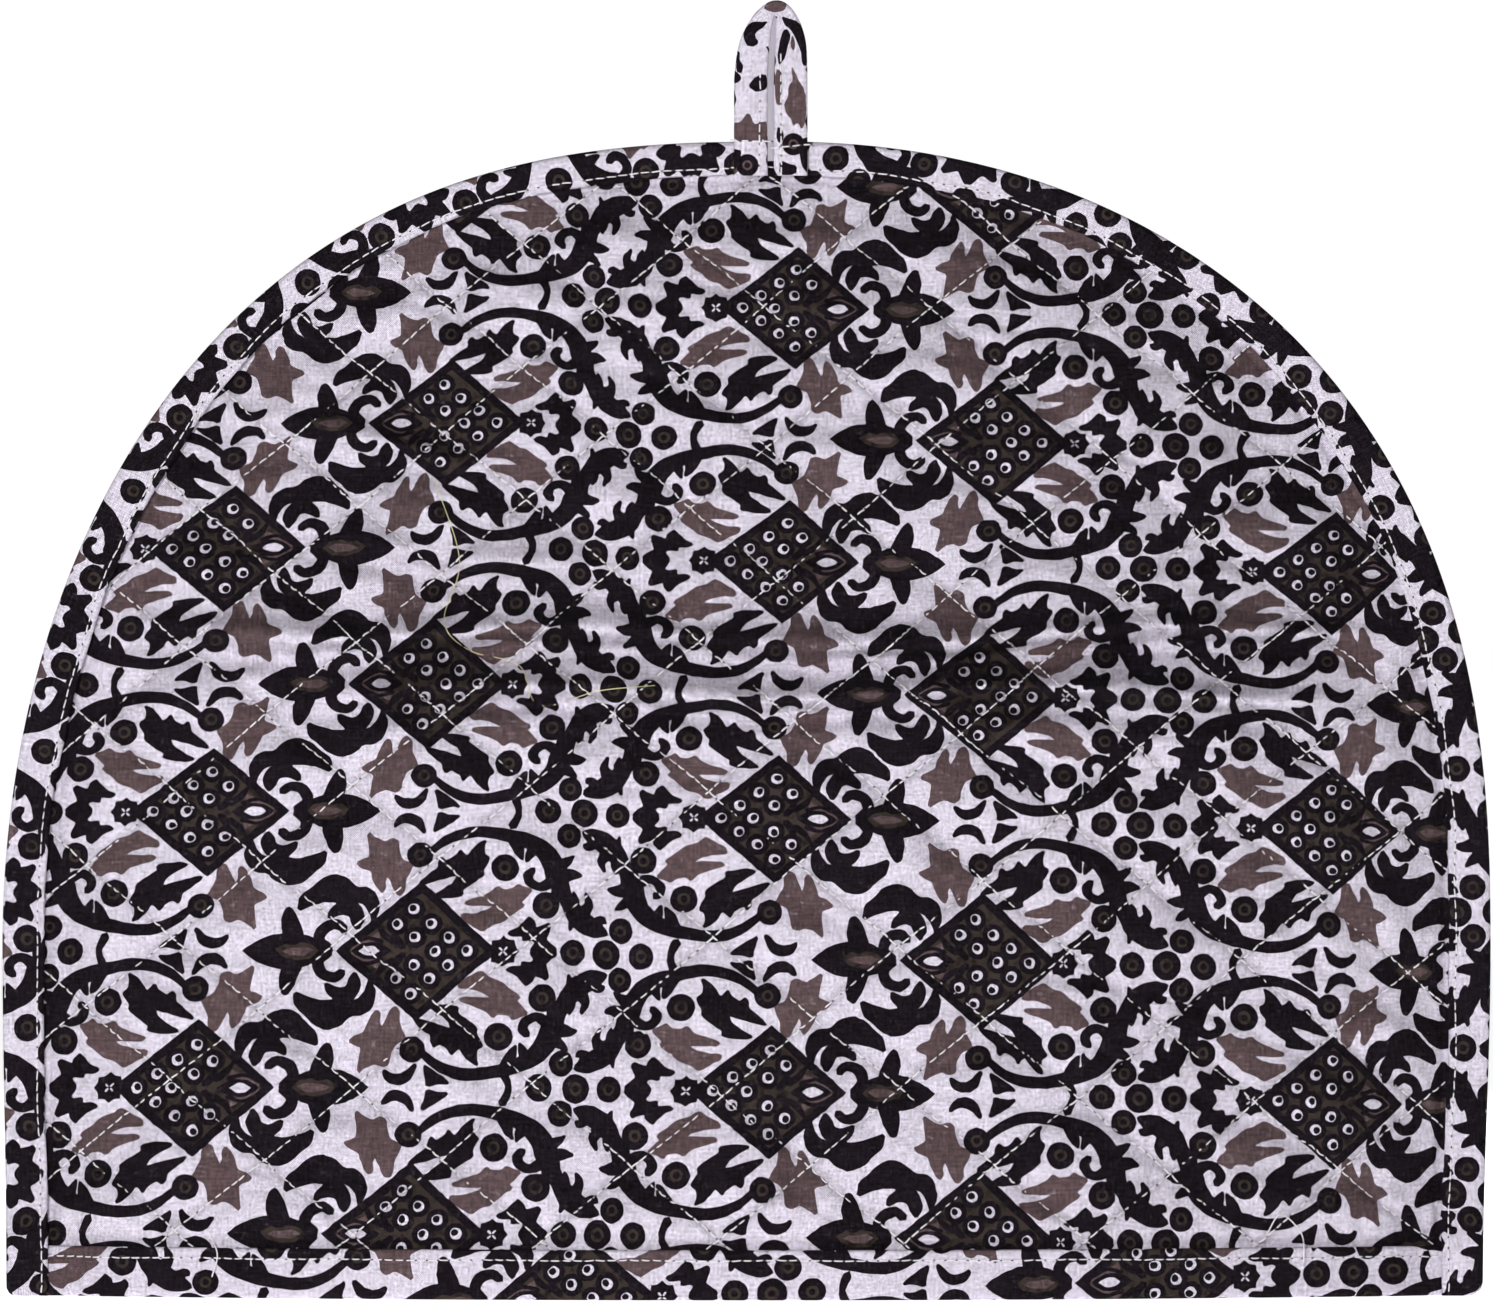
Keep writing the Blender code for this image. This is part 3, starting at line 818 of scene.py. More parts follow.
def printedCotton(name, seed, tone=1.0, quilted=False):
    material, tree, shader = newMaterial(name, 0.92, 0.07)
    place, knit, slub = weave(tree, seed)
    black, brown, olive = inkMasks(tree)
    cloudy = cloudsOn(tree, place, seed + 3.0, 55.0, 4.0, 0.6)
    patchy = cloudsOn(tree, place, seed + 5.0, 420.0, 3.0, 0.65)
    fleck = cloudsOn(tree, place, seed + 8.0, 900.0, 1.0)
    # ground cloth with its thread shades, painted shade along the stitched rows of the quilt, and a few dark
    # slubs
    shade = shadeOf(clothSet["groundShade"], knit, slub, cloudy)
    if quilted:
        # painted shade: the cloth is darkened on and beside each stitched row
        close, ripples = seamCloseness(tree)
        paintedShadeAlways, paintedShadeInPatches = clothSet["seamPaintedShade"]
        shade = shade * (1.0 - close * (paintedShadeAlways + patchy * paintedShadeInPatches))
    ground = shaded(tree, toned(clothSet["ground"], tone), shade)
    speck = ((fleck - 0.735) * 18.0).clipped()
    ground = mixed(tree, speck * clothSet["speckCover"], ground, clothSet["speck"])
    # each ink varies in tone, and the brown lets the thread tops through here and there
    brownTone, oliveTone, blackTone = (
        [toned(clothSet[ink], by) for by in clothSet[ink + "Tones"]] for ink in ("brown", "olive", "black"))
    thin = ((patchy - 0.60) * 5.0 + knit * 0.25 + slub * 0.9).clipped()
    mottle = (cloudy * 0.9 + 0.05 + knit * 0.85 + slub * 1.8).clipped()
    colour = mixed(tree, brown * (0.97 - thin * 0.26 + knit * 0.04), ground, mixed(tree, mottle, *brownTone))
    mottle = ((patchy - 0.47) * 6.0).clipped()
    colour = mixed(tree, olive, colour, mixed(tree, mottle, *oliveTone))
    worn = ((cloudy - 0.5) * 1.0 + slub * 1.6 + knit * 0.75 + 0.36).clipped()
    colour = mixed(tree, black * (1.0 - thin * 0.05), colour, mixed(tree, worn, *blackTone))
    tree.links.new(colour.socket, shader.inputs["Base Color"])
    height = knit * 0.5 + slub * 1.6 + cloudy * 0.6
    clothBump(tree, shader, height + ripples * 6.0 if quilted else height)
    return material


def plainCotton(name, seed, colour):
    material, tree, shader = newMaterial(name, 0.93, 0.10)
    place, knit, slub = weave(tree, seed)
    cloudy = cloudsOn(tree, place, seed, 60.0, 4.0)
    tint = shaded(tree, colour, shadeOf(clothSet["plainShade"], knit, slub, cloudy))
    tree.links.new(tint.socket, shader.inputs["Base Color"])
    clothBump(tree, shader, knit * 0.5 + slub * 1.6)
    return material


def twistedThread(name, colour):
    # spun thread: the twist shows as fine slanting bands
    material, tree, shader = newMaterial(name, 0.7, 0.25, 0.2)
    place = addNode(tree, "ShaderNodeTexCoord", None, None, 3)
    bands = addNode(tree, "ShaderNodeTexWave", {"bands_direction": "DIAGONAL"},
                    {"Vector": place, "Scale": 900.0, "Distortion": 2.0, "Detail": 1.0})
    tint = shaded(tree, colour, 0.86 + bands * 0.14)
    tree.links.new(tint.socket, shader.inputs["Base Color"])
    clothBump(tree, shader, bands, 0.00005, 0.5)
    return material


panelCloth = printedCotton("block printed cotton", 1.0, quilted=True)
tapeCloth = printedCotton("block printed tape", 4.0, 0.98)
loopCloth = printedCotton("block printed loop tape", 7.0, 1.0)
liningCloth = plainCotton("plain cotton lining", 2.0, clothSet["plain"])
# the underside seen down the loop's slit is the plain cotton darkened: painted shade in the slit
foldClothShaded = plainCotton("tape underside with painted shade", 6.0, toned(clothSet["plain"], 0.78))
whiteThread = twistedThread("white sewing thread", (0.80, 0.77, 0.80))
yellowThread = twistedThread("yellow thread end", (0.72, 0.66, 0.34))
# needle holes are flat dark discs on the cloth: painted shade in the holes
needleHoleShade, _, holeShadeShader = newMaterial("needle hole painted shade", 1.0, 0.0)
holeShadeShader.inputs["Base Color"].default_value = (0.05, 0.042, 0.06, 1)
print("materials made")

frontLie = {
    # how the printed cloth lies on the front
    "origin": (0.0072, 0.0488),  # where a motif starts on the cloth
    "bend": (0.1036, 1.3256),  # how it is drawn together across, by x squared and x cubed
    "lean": (0.026, 0.22),  # how it leans with height, and how much less towards the right
    "level": 0.049,  # the height where it doesn't lean
    "shrink": (0.12, 0.014, 0.105),  # how it is drawn together above a level: share, softness, level
    "sag": (0.012, 0.09),  # how its rows slope and curve, by x and x squared
    # the quilting drew parts of it aside: how far, and between which places that begins or ends
    "leftPart": (-0.050, -0.020),
    "acrossOnLeft": 0.0024,
    "acrossHigh": (0.0020, 0.150, 0.215),
    "acrossFarLeft": (-0.0047, -0.170, -0.085),
    "acrossFarRight": (0.0024, 0.105, 0.150),
    "acrossAll": -0.0006,
    "upOnLeft": 0.0013,
    "upHighOnLeft": (0.0020, 0.120, 0.200),
    "upLowOnRight": (0.0012, 0.035, 0.085),
}


def drawnFrom(key, value):
    amount, begins, ends = frontLie[key]
    return amount * easeIn(value, begins, ends)


def drawnUpTo(key, value):
    amount, begins, ends = frontLie[key]
    return amount * (1 - easeIn(value, begins, ends))


def printPlaceOnFront(x, z):
    bend, lean, shrink, sag = (frontLie[key] for key in ("bend", "lean", "shrink", "sag"))
    left = 1 - easeIn(x, *frontLie["leftPart"])
    drawnX = (frontLie["acrossOnLeft"] * left + drawnFrom("acrossHigh", z) + drawnUpTo("acrossFarLeft", x)
              + drawnFrom("acrossFarRight", x) + frontLie["acrossAll"])
    drawnZ = (left * (frontLie["upOnLeft"] + drawnFrom("upHighOnLeft", z))
              + (1 - left) * drawnUpTo("upLowOnRight", z))
    x, z = x - drawnX, z - drawnZ
    s = x + bend[0] * x**2 + bend[1] * x**3 - (lean[0] - lean[1] * x) * (z - frontLie["level"])
    t = z + shrink[0] * shrink[1] * np.log1p(np.exp((z - shrink[2]) / shrink[1])) + sag[0] * x + sag[1] * x**2
    return s, t


def frontPlace(s, t):
    # the other way, from a place on the cloth to (x, z), step by step
    x, z = s.copy(), t.copy()
    for _ in range(10):
        nowS, nowT = printPlaceOnFront(x, z)
        x, z = x + (s - nowS), z + (t - nowT)
    return x, z


backLie = {"origin": (-0.0310, 0.0150), "turn": math.radians(1.2)}


def backPlace(s, t):
    # seen from behind, so x is turned round
    cosine, sine = math.cos(backLie["turn"]), math.sin(backLie["turn"])
    return -(s * cosine - t * sine), s * sine + t * cosine


edgeSteps = np.linalg.norm(np.diff(coverEdge, axis=0), axis=1)
edgeAlong = np.append(0, np.cumsum(edgeSteps))
edgeLength = edgeAlong[-1]
edgeAhead = np.gradient(coverEdge, edgeAlong, axis=0)


def edgeFrame(a):
    # place and inward direction at a distance along the cover's edge
    x, z = np.interp(a, edgeAlong, coverEdge[:, 0]), np.interp(a, edgeAlong, coverEdge[:, 1])
    tx, tz = np.interp(a, edgeAlong, edgeAhead[:, 0]), np.interp(a, edgeAlong, edgeAhead[:, 1])
    size = np.hypot(tx, tz)
    return x, z, tz / size, -tx / size


panelCut = {
    "edge": 0.0016,
    "foot": 0.0017,
    "margin": 0.0024,  # net points keep this far from the edge
    "besideTapes": (-0.0004, 0.0008, 0.0020),  # extra rings of points along the tapes
    "edgeSteps": 420,
    "footSteps": 140,
}


def insetEdge(distance, floor, beside=0.0):
    # the cover's edge moved inward, closed along the foot
    x, z, inX, inZ = edgeFrame(np.linspace(0, edgeLength, panelCut["edgeSteps"]))
    inward = (distance(z) if callable(distance) else distance) + beside
    floor = floor + beside
    moved = np.column_stack([x + inward * inX, z + inward * inZ])
    moved = moved[moved[:, 1] > floor + 0.0006]
    ends = np.array([[moved[0, 0], floor], [moved[-1, 0], floor]])
    middle = np.linspace(ends[1], ends[0], panelCut["footSteps"])
    return np.vstack([moved, middle])[::-1]


def quiltNet(shift, perRow):
    # points on a slanting net that follows the stitched rows, closer together near them
    share = np.arange(perRow) / perRow
    bunched = share - quiltSet["crowding"] * np.sin(2 * math.pi * share) / (2 * math.pi)

    def finer(rows):
        rows = np.array(rows)
        return np.concatenate([rows[:-1, None] + np.diff(rows)[:, None] * bunched[None, :]]).ravel() + shift

    falling, rising = np.meshgrid(finer(quiltSet["falling"]), finer(quiltSet["rising"]))
    x = ((falling - rising) / (2 * slopeSin)).ravel()
    z = ((falling + rising) / (2 * slopeCos)).ravel()
    for _ in range(3):
        f = falling.ravel() - rowDrift(x, z, 0)
        r = rising.ravel() - rowDrift(x, z, 3)
        x, z = (f - r) / (2 * slopeSin), (f + r) / (2 * slopeCos)
    return np.column_stack([x, z])


def insideCover(points):
    near = (domeFill(points[:, 0], points[:, 1], 0) < 1) & (points[:, 1] > panelCut["foot"] + 0.0004)
    points = points[near]
    return points[edgeDistance(points[:, 0], points[:, 1]) > panelCut["margin"]]


def skinOf(side, shift, face):
    # a panel's outer (face 1) or inner (face -1) cloth as a function of (x, z)
    def place(x, z):
        return x, side * panelSkin(x, z, shift, face), z
    return place


def makePanel(name, side, shift, shapes):
    border = insetEdge(panelCut["edge"], panelCut["foot"])
    net = [quiltNet(shift, quiltSet["finePerRow"])]
    for beside in panelCut["besideTapes"]:
        net.append(insetEdge(tapeWidth, coverSet["hemHeight"], beside))
    obj = printedMesh(name, border, insideCover(np.vstack(net)), shapes, skinOf(side, shift, 1), side > 0,
                      lambda x, z: rowPlaces(x, z, shift))
    obj.data.materials.append(panelCloth)
    return obj


def makeLining(name, side, shift):
    border = insetEdge(panelCut["edge"], panelCut["foot"])[::3]
    net = insideCover(quiltNet(shift, quiltSet["coarsePerRow"]))
    obj = printedMesh(name, border, net, [], skinOf(side, shift, -1), side < 0,
                      lambda x, z: rowPlaces(x, z, shift))
    obj.data.materials.append(liningCloth)
    return obj


# the part of the cloth that the panels need
windowLow, windowHigh = (-0.20, -0.02), (0.20, 0.33)
backShift = quiltSet["backShift"]
frontShapes = printedShapes(windowLow, windowHigh, frontPlace, frontLie["origin"])
frontPanel = makePanel("frontPanelCloth", -1, 0.0, frontShapes)
backShapes = printedShapes(windowLow, windowHigh, backPlace, backLie["origin"])
backPanel = makePanel("backPanelCloth", 1, backShift, backShapes)
frontLining = makeLining("frontLining", -1, 0.0)
backLining = makeLining("backLining", 1, backShift)
print("panels made")

bindingSet = {
    "round": 0.0014,
    "turnIn": 0.00045,  # radius of the folded-in edge
    "reach": 0.0166,  # from the fold's middle to the raw edge
    "stepAlong": 0.0019,
    "stepAcross": 0.0007,
    "cutAt": (-0.02395, 0.0967),  # where the tape was cut from the cloth
    "cutDrift": (-0.0070, 0.12, 0.08),  # how far the cut strays, and how far from either end that is over
    "cutBulge": (0.0030, 0.36, 0.05),  # how far it strays inward left of the crest, where, and over how much
    "stitchIn": 0.0013,
    "flatFrom": (0.004, 0.006),
    # the tape's waves: how many to the metre along and across with their seed, finer ones, their share
    "waves": ((120, 90, 5.5), (330, 120, 2.2), 0.6),
    "ripple": 0.00016,
    "fullness": 0.4,
    "groove": 0.00022,
}


def foldedTape(q, half, width, recess, bend, turnIn):
    # (inward, outward) of a tape folded round an edge, q being the way round from the fold's middle
    away = np.abs(q)
    one = half - bend
    two = one + math.pi / 2 * bend
    three = two + (width - turnIn) - (recess + bend)
    four = three + math.pi * turnIn
    angle = np.clip((away - one) / bend, 0, math.pi / 2)
    inward = recess + bend * (1 - np.cos(angle))
    outward = np.where(away < one, away, half - bend + bend * np.sin(angle))
    flat = np.clip(away - two, 0, None)
    inward = inward + np.minimum(flat, three - two)
    turn = np.clip((away - three) / turnIn, 0, math.pi)
    inward = inward + turnIn * np.sin(turn)
    outward = outward - turnIn * (1 - np.cos(turn))
    inward = inward - np.clip(away - four, 0, None)
    return inward, np.sign(q) * outward, three


def reliefOn(tape, a, q, flatEnd, seed=0.0):
    # a tape lifts a little between the stitches and sinks along them
    away = np.abs(q)
    onFlat = easeIn(away, *tape["flatFrom"]) * (1 - easeIn(away - flatEnd, -0.0006, 0.0004))
    groove = np.exp(-(((flatEnd - away - tape["stitchIn"]) / 0.0006) ** 2))
    (along, across, start), (fineAlong, fineAcross, fineStart), share = tape["waves"]
    ripple = softNoise(a, q, along, across, start + seed)
    ripple = ripple + share * softNoise(a, q, fineAlong, fineAcross, fineStart)
    return np.sign(q) * onFlat * (tape["ripple"] * (ripple + tape["fullness"]) - tape["groove"] * groove)


def tapeNet(a, q):
    # the outline of a strip laid out flat, and the points inside it
    grid = np.stack(np.meshgrid(a[1:-1], q[1:-1]), axis=-1).reshape(-1, 2)
    border = np.vstack([
        np.column_stack([a, np.full(len(a), q[0])]),
        np.column_stack([np.full(len(q) - 2, a[-1]), q[1:-1]]),
        np.column_stack([a, np.full(len(a), q[-1])])[::-1],
        np.column_stack([np.full(len(q) - 2, a[0]), q[1:-1]])[::-1],
    ])
    return border, grid


def stripNet(tape, start, end):
    reach = tape["reach"]
    a = np.linspace(start, end, round((end - start) / tape["stepAlong"]))
    q = np.linspace(-reach, reach, round(2 * reach / tape["stepAcross"]))
    return tapeNet(a, q)


def bindingHalf(z):
    overStrips = 1 - np.clip((z - hemLine) / (coverSet["legEnd"] - hemLine), 0, 1)
    rim = rimHalf + footSplay(z) + coverSet["edgeHalf"] + coverSet["gap"] + coverSet["tape"]
    return rim + legRoom * overStrips


def bindingWidth(z, a):
    return tapeWidth(z) + 0.00018 * np.sin(a * 95) + 0.00012 * np.sin(a * 237 + 1)


def cornerRecess(x, z):
    radius = np.where(x < 0, coverSet["sides"][-1][3], coverSet["sides"][1][3])
    drop = np.clip(radius - z, 0, radius)
    return radius - np.sqrt(radius**2 - drop**2)


def bindingPoint(a, q):
    x, z, inX, inZ = edgeFrame(a)
    inward, outward, flatEnd = foldedTape(q, bindingHalf(z), bindingWidth(z, a), cornerRecess(x, z),
                                          bindingSet["round"], bindingSet["turnIn"])
    outward = outward + reliefOn(bindingSet, a, q, flatEnd)
    return x + inward * inX, -outward, z + inward * inZ


def makeBinding():
    border, grid = stripNet(bindingSet, 0, edgeLength)
    cutS, cutT = bindingSet["cutAt"]
    drift, begins, beforeEnd = bindingSet["cutDrift"]
    bulge, middle, half = bindingSet["cutBulge"]

    def cutOut(s, t):
        along = cutT - t
        strays = drift * easeIn(along, begins, edgeLength - beforeEnd)
        strays = strays + bulge * np.exp(-(((along - middle) / half) ** 2))
        return along, cutS + strays - s

    low, high = (cutS - 0.028, cutT - edgeLength - 0.01), (cutS + 0.022, cutT + 0.01)
    shapes = printedShapes(low, high, cutOut, (0, 0))
    obj = printedMesh("edgeBindingTape", border, grid, shapes, bindingPoint, flipped=True)
    obj.data.materials.append(tapeCloth)
    return obj


binding = makeBinding()

hemSet = {
    "endInset": (0.0033, 0.0048),  # from the cover's sides to the strips' ends, left and right
    "round": 0.0011,
    "turnIn": 0.00045,
    "reach": 0.0150,
    "stepAlong": 0.0020,
    "stepAcross": 0.0007,
    # where each strip was cut from the cloth, and how askew
    "cutAt": {-1: (0.0482, -0.0293), 1: (0.0200, 0.0050)},
    "cutSlope": {-1: 0.030, 1: -0.012},
    "stitchIn": 0.0021,
    "flatFrom": (0.003, 0.005),
    "waves": ((90, 110, 6.5), (300, 120, 3.2), 0.5),
    "ripple": 0.00014,
    "fullness": 0.0,
    "groove": 0.00020,
}
hemEnds = (coverEdge[0, 0] + hemSet["endInset"][0], coverEdge[-1, 0] - hemSet["endInset"][1])
hemHalf = coverSet["edgeHalf"] + coverSet["gap"] + coverSet["tape"]


def hemPath(a, side):
    # the foot of a panel: place and the level direction across it
    y = side * panelDepth(a, np.zeros_like(a))
    ahead = np.gradient(y, a)
    size = np.hypot(1, ahead)
    return y, -ahead / size, 1 / size


hemGrid = np.linspace(hemEnds[0], hemEnds[1], 400)
hemPaths = {side: hemPath(hemGrid, side) for side in (-1, 1)}


def hemPoint(side):
    def place(a, q):
        y, acrossX, acrossY = (np.interp(a, hemGrid, row) for row in hemPaths[side])
        height, outward, flatEnd = foldedTape(q, hemHalf, coverSet["hemHeight"], 0, hemSet["round"],
                                              hemSet["turnIn"])
        offset = (outward + reliefOn(hemSet, a, q, flatEnd, side)) * side
        return a + offset * acrossX, y + offset * acrossY, height
    return place


def makeHemStrip(name, side):
    border, grid = stripNet(hemSet, *hemEnds)

    def cutOut(s, t):
        return -side * s, t + hemSet["cutSlope"][side] * s

    shapes = printedShapes((-0.185, -0.025), (0.185, 0.025), cutOut, hemSet["cutAt"][side])
    obj = printedMesh(name, border, grid, shapes, hemPoint(side), flipped=side > 0)
    obj.data.materials.append(tapeCloth)
    return obj


frontHem = makeHemStrip("frontHemTape", -1)
backHem = makeHemStrip("backHemTape", 1)
print("tapes made")

loopSet = {
    "x": 0.0058,
    "top": 0.3098,
    "halfWidth": 0.0088,
    "slit": 0.0014,
    "arch": 0.0130,
    "slitArch": 0.0092,
    "thickness": 0.0018,
    "lean": 0.0030,
    "legShare": 0.3,
    "length": 0.078,
    # the arch leans to one side and narrows as it turns over
    "tiltFrom": 0.2900,
    "tilt": 0.0014,
    "narrows": 0.21,
    "fray": 0.00025,
    "stepsAlong": 86,
    "stepsRound": 34,
    "puffs": (0.10, 0.00025),  # how much its thickness varies, and how far it waves
    # the folded underside in the slit: height over the loop's foot, length, half width and how it grows
    "foldFoot": 0.0035,
    "foldLength": 0.0355,
    "foldHalf": (0.0012, 0.0004),
    "foldBehind": 0.0007,
    "foldCrown": 0.00035,
}
loopFoot = crestLevel - coverSet["bindingWidths"][1]
loopSpring = loopSet["top"] - loopSet["arch"]
loopFace = bindingHalf(np.array(crestLevel)) + coverSet["gap"] + loopSet["thickness"] / 2
loopWide = loopSet["halfWidth"] - loopSet["slit"] / 2
# the loop's print in millimetres, (x, z) on its front
loopPrint = (
    (blackInk, ((-1.0, 301.4), (-0.2, 303.5), (1.4, 304.8), (3.3, 304.6), (5.2, 304.7), (4.2, 303.3),
                (2.7, 302.6), (1.9, 301.3), (3.2, 299.5), (1.4, 298.5), (0.0, 299.0))),
    (blackInk, ((-2.6, 297.9), (-1.5, 297.3), (-1.6, 295.4), (-0.6, 294.1), (-1.2, 292.4), (-2.6, 292.6))),
    (blackInk, ((0.2, 289.0), (1.6, 290.9), (3.3, 292.1), (5.1, 291.9), (5.1, 288.5), (2.6, 287.7))),
    (brownInk, ((-3.4, 280.4), (-1.3, 280.6), (0.0, 282.7), (1.0, 282.3), (1.7, 280.1), (3.4, 280.5),
                (5.0, 280.8), (5.0, 275.9), (-3.4, 275.9))),
    (brownInk, ((4.0, 308.2), (6.6, 309.9), (9.8, 309.4), (9.0, 307.4), (7.2, 306.8), (5.2, 307.2))),
    (blackInk, ((8.2, 306.0), (10.6, 305.4), (12.4, 304.6), (13.5, 302.4), (14.6, 299.0), (14.7, 294.0),
                (13.3, 294.2), (12.9, 298.0), (11.9, 300.6), (10.4, 302.9), (9.0, 304.0))),
    (blackInk, ((8.6, 302.8), (10.0, 303.0), (10.5, 300.8), (9.8, 298.2), (8.9, 295.2), (7.6, 294.2),
                (7.4, 297.0), (8.0, 300.0))),
    (brownInk, ((10.8, 301.6), (11.9, 299.4), (11.4, 297.4), (10.4, 299.0))),
    (brownInk, ((6.8, 293.4), (8.6, 292.6), (8.4, 288.0), (8.2, 284.4), (6.8, 285.0))),
    (brownInk, ((10.6, 294.2), (11.9, 292.2), (12.5, 290.4), (13.9, 288.4), (14.4, 285.0), (14.1, 281.6),
                (13.4, 278.6), (12.4, 280.4), (11.2, 279.6), (10.3, 281.8), (9.1, 283.2), (8.9, 285.1),
                (10.0, 287.0), (10.0, 289.0), (11.2, 290.8))),
    (blackInk, ((7.2, 279.6), (8.5, 278.9), (9.0, 276.8), (8.0, 275.4), (7.1, 276.2))),
    (blackInk, ((-3.4, 274.2), (-1.0, 273.8), (-1.8, 270.8), (-3.4, 268.6))),
    (blackInk, ((12.4, 274.0), (14.9, 275.2), (14.9, 268.4), (13.4, 269.6))),
    (blackInk, ((8.0, 271.6), (10.0, 270.6), (12.2, 270.4), (12.0, 268.0), (7.6, 268.0))),
)
loopDots = ((11.2, 275.3), (0.2, 270.3))


def loopPlace(along, across):
    half = loopSet["slit"] / 2 + across * loopWide
    rise = loopSet["slitArch"] + across * (loopSet["arch"] - loopSet["slitArch"])
    nearEnd = np.minimum(along, 1 - along)
    climb = nearEnd / loopSet["legShare"]
    turn = math.pi * np.clip((along - loopSet["legShare"]) / (1 - 2 * loopSet["legShare"]), 0, 1)
    onLeg = nearEnd < loopSet["legShare"]
    x = np.where(onLeg, np.sign(along - 0.5) * half, -half * np.cos(turn))
    z = np.where(onLeg, loopFoot + climb * (loopSpring - loopFoot), loopSpring + rise * np.sin(turn))
    tip = loopTip(z)
    return loopSet["x"] + x * (1 - loopSet["narrows"] * tip) + loopSet["tilt"] * tip, z


def loopTip(z):
    return np.clip((z - loopSet["tiltFrom"]) / (loopSet["top"] - loopSet["tiltFrom"]), 0, 1) ** 1.5


def loopFlat(x, z):
    # the other way: from a place (x, z) on the front to (along, round the tube)
    tip = loopTip(z)
    x = (x - loopSet["x"] - loopSet["tilt"] * tip) / (1 - loopSet["narrows"] * tip)
    near, far = np.full_like(x, -0.2), np.full_like(x, 1.4)
    above = np.clip(z - loopSpring, 0, None)
    for _ in range(24):
        across = (near + far) / 2
        half = np.maximum(loopSet["slit"] / 2 + across * loopWide, 1e-5)
        rise = np.maximum(loopSet["slitArch"] + across * (loopSet["arch"] - loopSet["slitArch"]), 1e-5)
        outside = (x / half) ** 2 + (above / rise) ** 2 > 1
        near, far = np.where(outside, across, near), np.where(outside, far, across)
    turn = np.arctan2(above / rise, -x / half)
    share = loopSet["legShare"]
    climb = share * (z - loopFoot) / (loopSpring - loopFoot)
    onLeg = np.where(x < 0, climb, 1 - climb)
    along = np.where(z > loopSpring, share + (1 - 2 * share) * turn / math.pi, onLeg)
    return along * loopSet["length"], across * loopWide - loopSet["thickness"] / 2


def loopLean(z):
    return loopSet["lean"] * easeIn(z, crestLevel + coverSet["gap"], loopSet["top"])


def loopPoint(a, q):
    # q runs round the flattened tube: across the front, round the outer edge, back behind, round the slit
    along = np.clip(a / loopSet["length"], 0, 1)
    thick = loopSet["thickness"]
    straight, arc = loopWide - thick, math.pi * thick / 2
    way = np.mod(q, 2 * (straight + arc))
    front = np.clip(way, 0, straight)
    outer = np.clip(way - straight, 0, arc) / (thick / 2)
    behind = np.clip(way - straight - arc, 0, straight)
    inner = np.clip(way - 2 * straight - arc, 0, arc) / (thick / 2)
    across = thick / 2 + front - behind + thick / 2 * (np.sin(outer) - np.sin(inner))
    outward = thick / 2 * np.where(way < straight + arc, np.cos(outer), -np.cos(inner))
    soft = softNoise(a, q, 150, 260, 4.4)
    x, z = loopPlace(along, across / loopWide)
    swells, waves = loopSet["puffs"]
    puffed = outward * (1 + swells * soft) + waves * softNoise(a, q, 60, 60, 1.9)
    return x, -(loopFace + puffed) + loopLean(z), z


def loopShapes():
    shapes = []
    for colour, rows in loopPrint:
        shape = roughened(cutCorners(rows, 0.22), 1.1) / 1000
        frays = np.column_stack(strayAt(shape[:, 0], shape[:, 1], 900, (4.5, 6.5)))
        shape = shape + loopSet["fray"] * frays
        shapes.append((2, colour, np.column_stack(loopFlat(shape[:, 0], shape[:, 1]))))
    for x, z in loopDots:
        for layer, colour, radius in ((3, blackInk, 2.7), (4, brownInk, 1.2), (5, blackInk, 0.7)):
            shape = roundShape(x, z, radius, 16) / 1000
            shapes.append((layer, colour, np.column_stack(loopFlat(shape[:, 0], shape[:, 1]))))
    # behind and round the edges the print is whatever the tape's cut brought there
    for column in range(9):
        a = 0.004 + column * 0.0088
        leaf = brownShapes["lowLeaf" if column % 2 else "highLeaf"]
        for q in (-0.0062, 0.0118):
            shape = cutCorners(leaf, 0.2) * printSet["square"] * 0.8
            shape = shape - shape.mean(axis=0) + (a, q - 0.0003 * (column % 3))
            shapes.append((1, blackInk if column % 3 else brownInk, shape))
    return shapes


def makeLoop():
    thick = loopSet["thickness"]
    lap = 2 * (loopWide - thick + math.pi * thick / 2)
    start = -lap / 2 + (loopWide - thick) / 2
    border, grid = tapeNet(np.linspace(0, loopSet["length"], loopSet["stepsAlong"]),
                           np.linspace(start, start + lap, loopSet["stepsRound"]))
    obj = printedMesh("hangingLoopTape", border, grid, loopShapes(), loopPoint, flipped=False)
    # the tube closes where its two long edges meet
    shape = bmesh.new()
    shape.from_mesh(obj.data)
    bmesh.ops.remove_doubles(shape, verts=shape.verts, dist=1e-6)
    shape.to_mesh(obj.data)
    shape.free()
    obj.data.materials.append(loopCloth)
    return obj


def makeLoopFold():
    # the tape's plain underside, seen down the slit, in a darker copy of the plain cotton that paints the
    # slit's shade
    border, grid = tapeNet(np.linspace(0, 1, 40), np.linspace(-1, 1, 7))
    narrow, wider = loopSet["foldHalf"]

    def place(along, across):
        z = loopFoot + loopSet["foldFoot"] + along * loopSet["foldLength"]
        middle = loopSet["x"] + loopSet["tilt"] * loopTip(z) - 0.0002
        half = narrow + wider * along
        outward = loopSet["thickness"] / 2 - loopSet["foldBehind"] - loopSet["foldCrown"] * across**2
        return middle + across * half, -(loopFace + outward) + loopLean(z), z

    obj = printedMesh("loopFoldUnderside", border, grid, [], place)
    obj.data.materials.append(foldClothShaded)
    return obj


loop = makeLoop()
loopFold = makeLoopFold()
print("loop made")

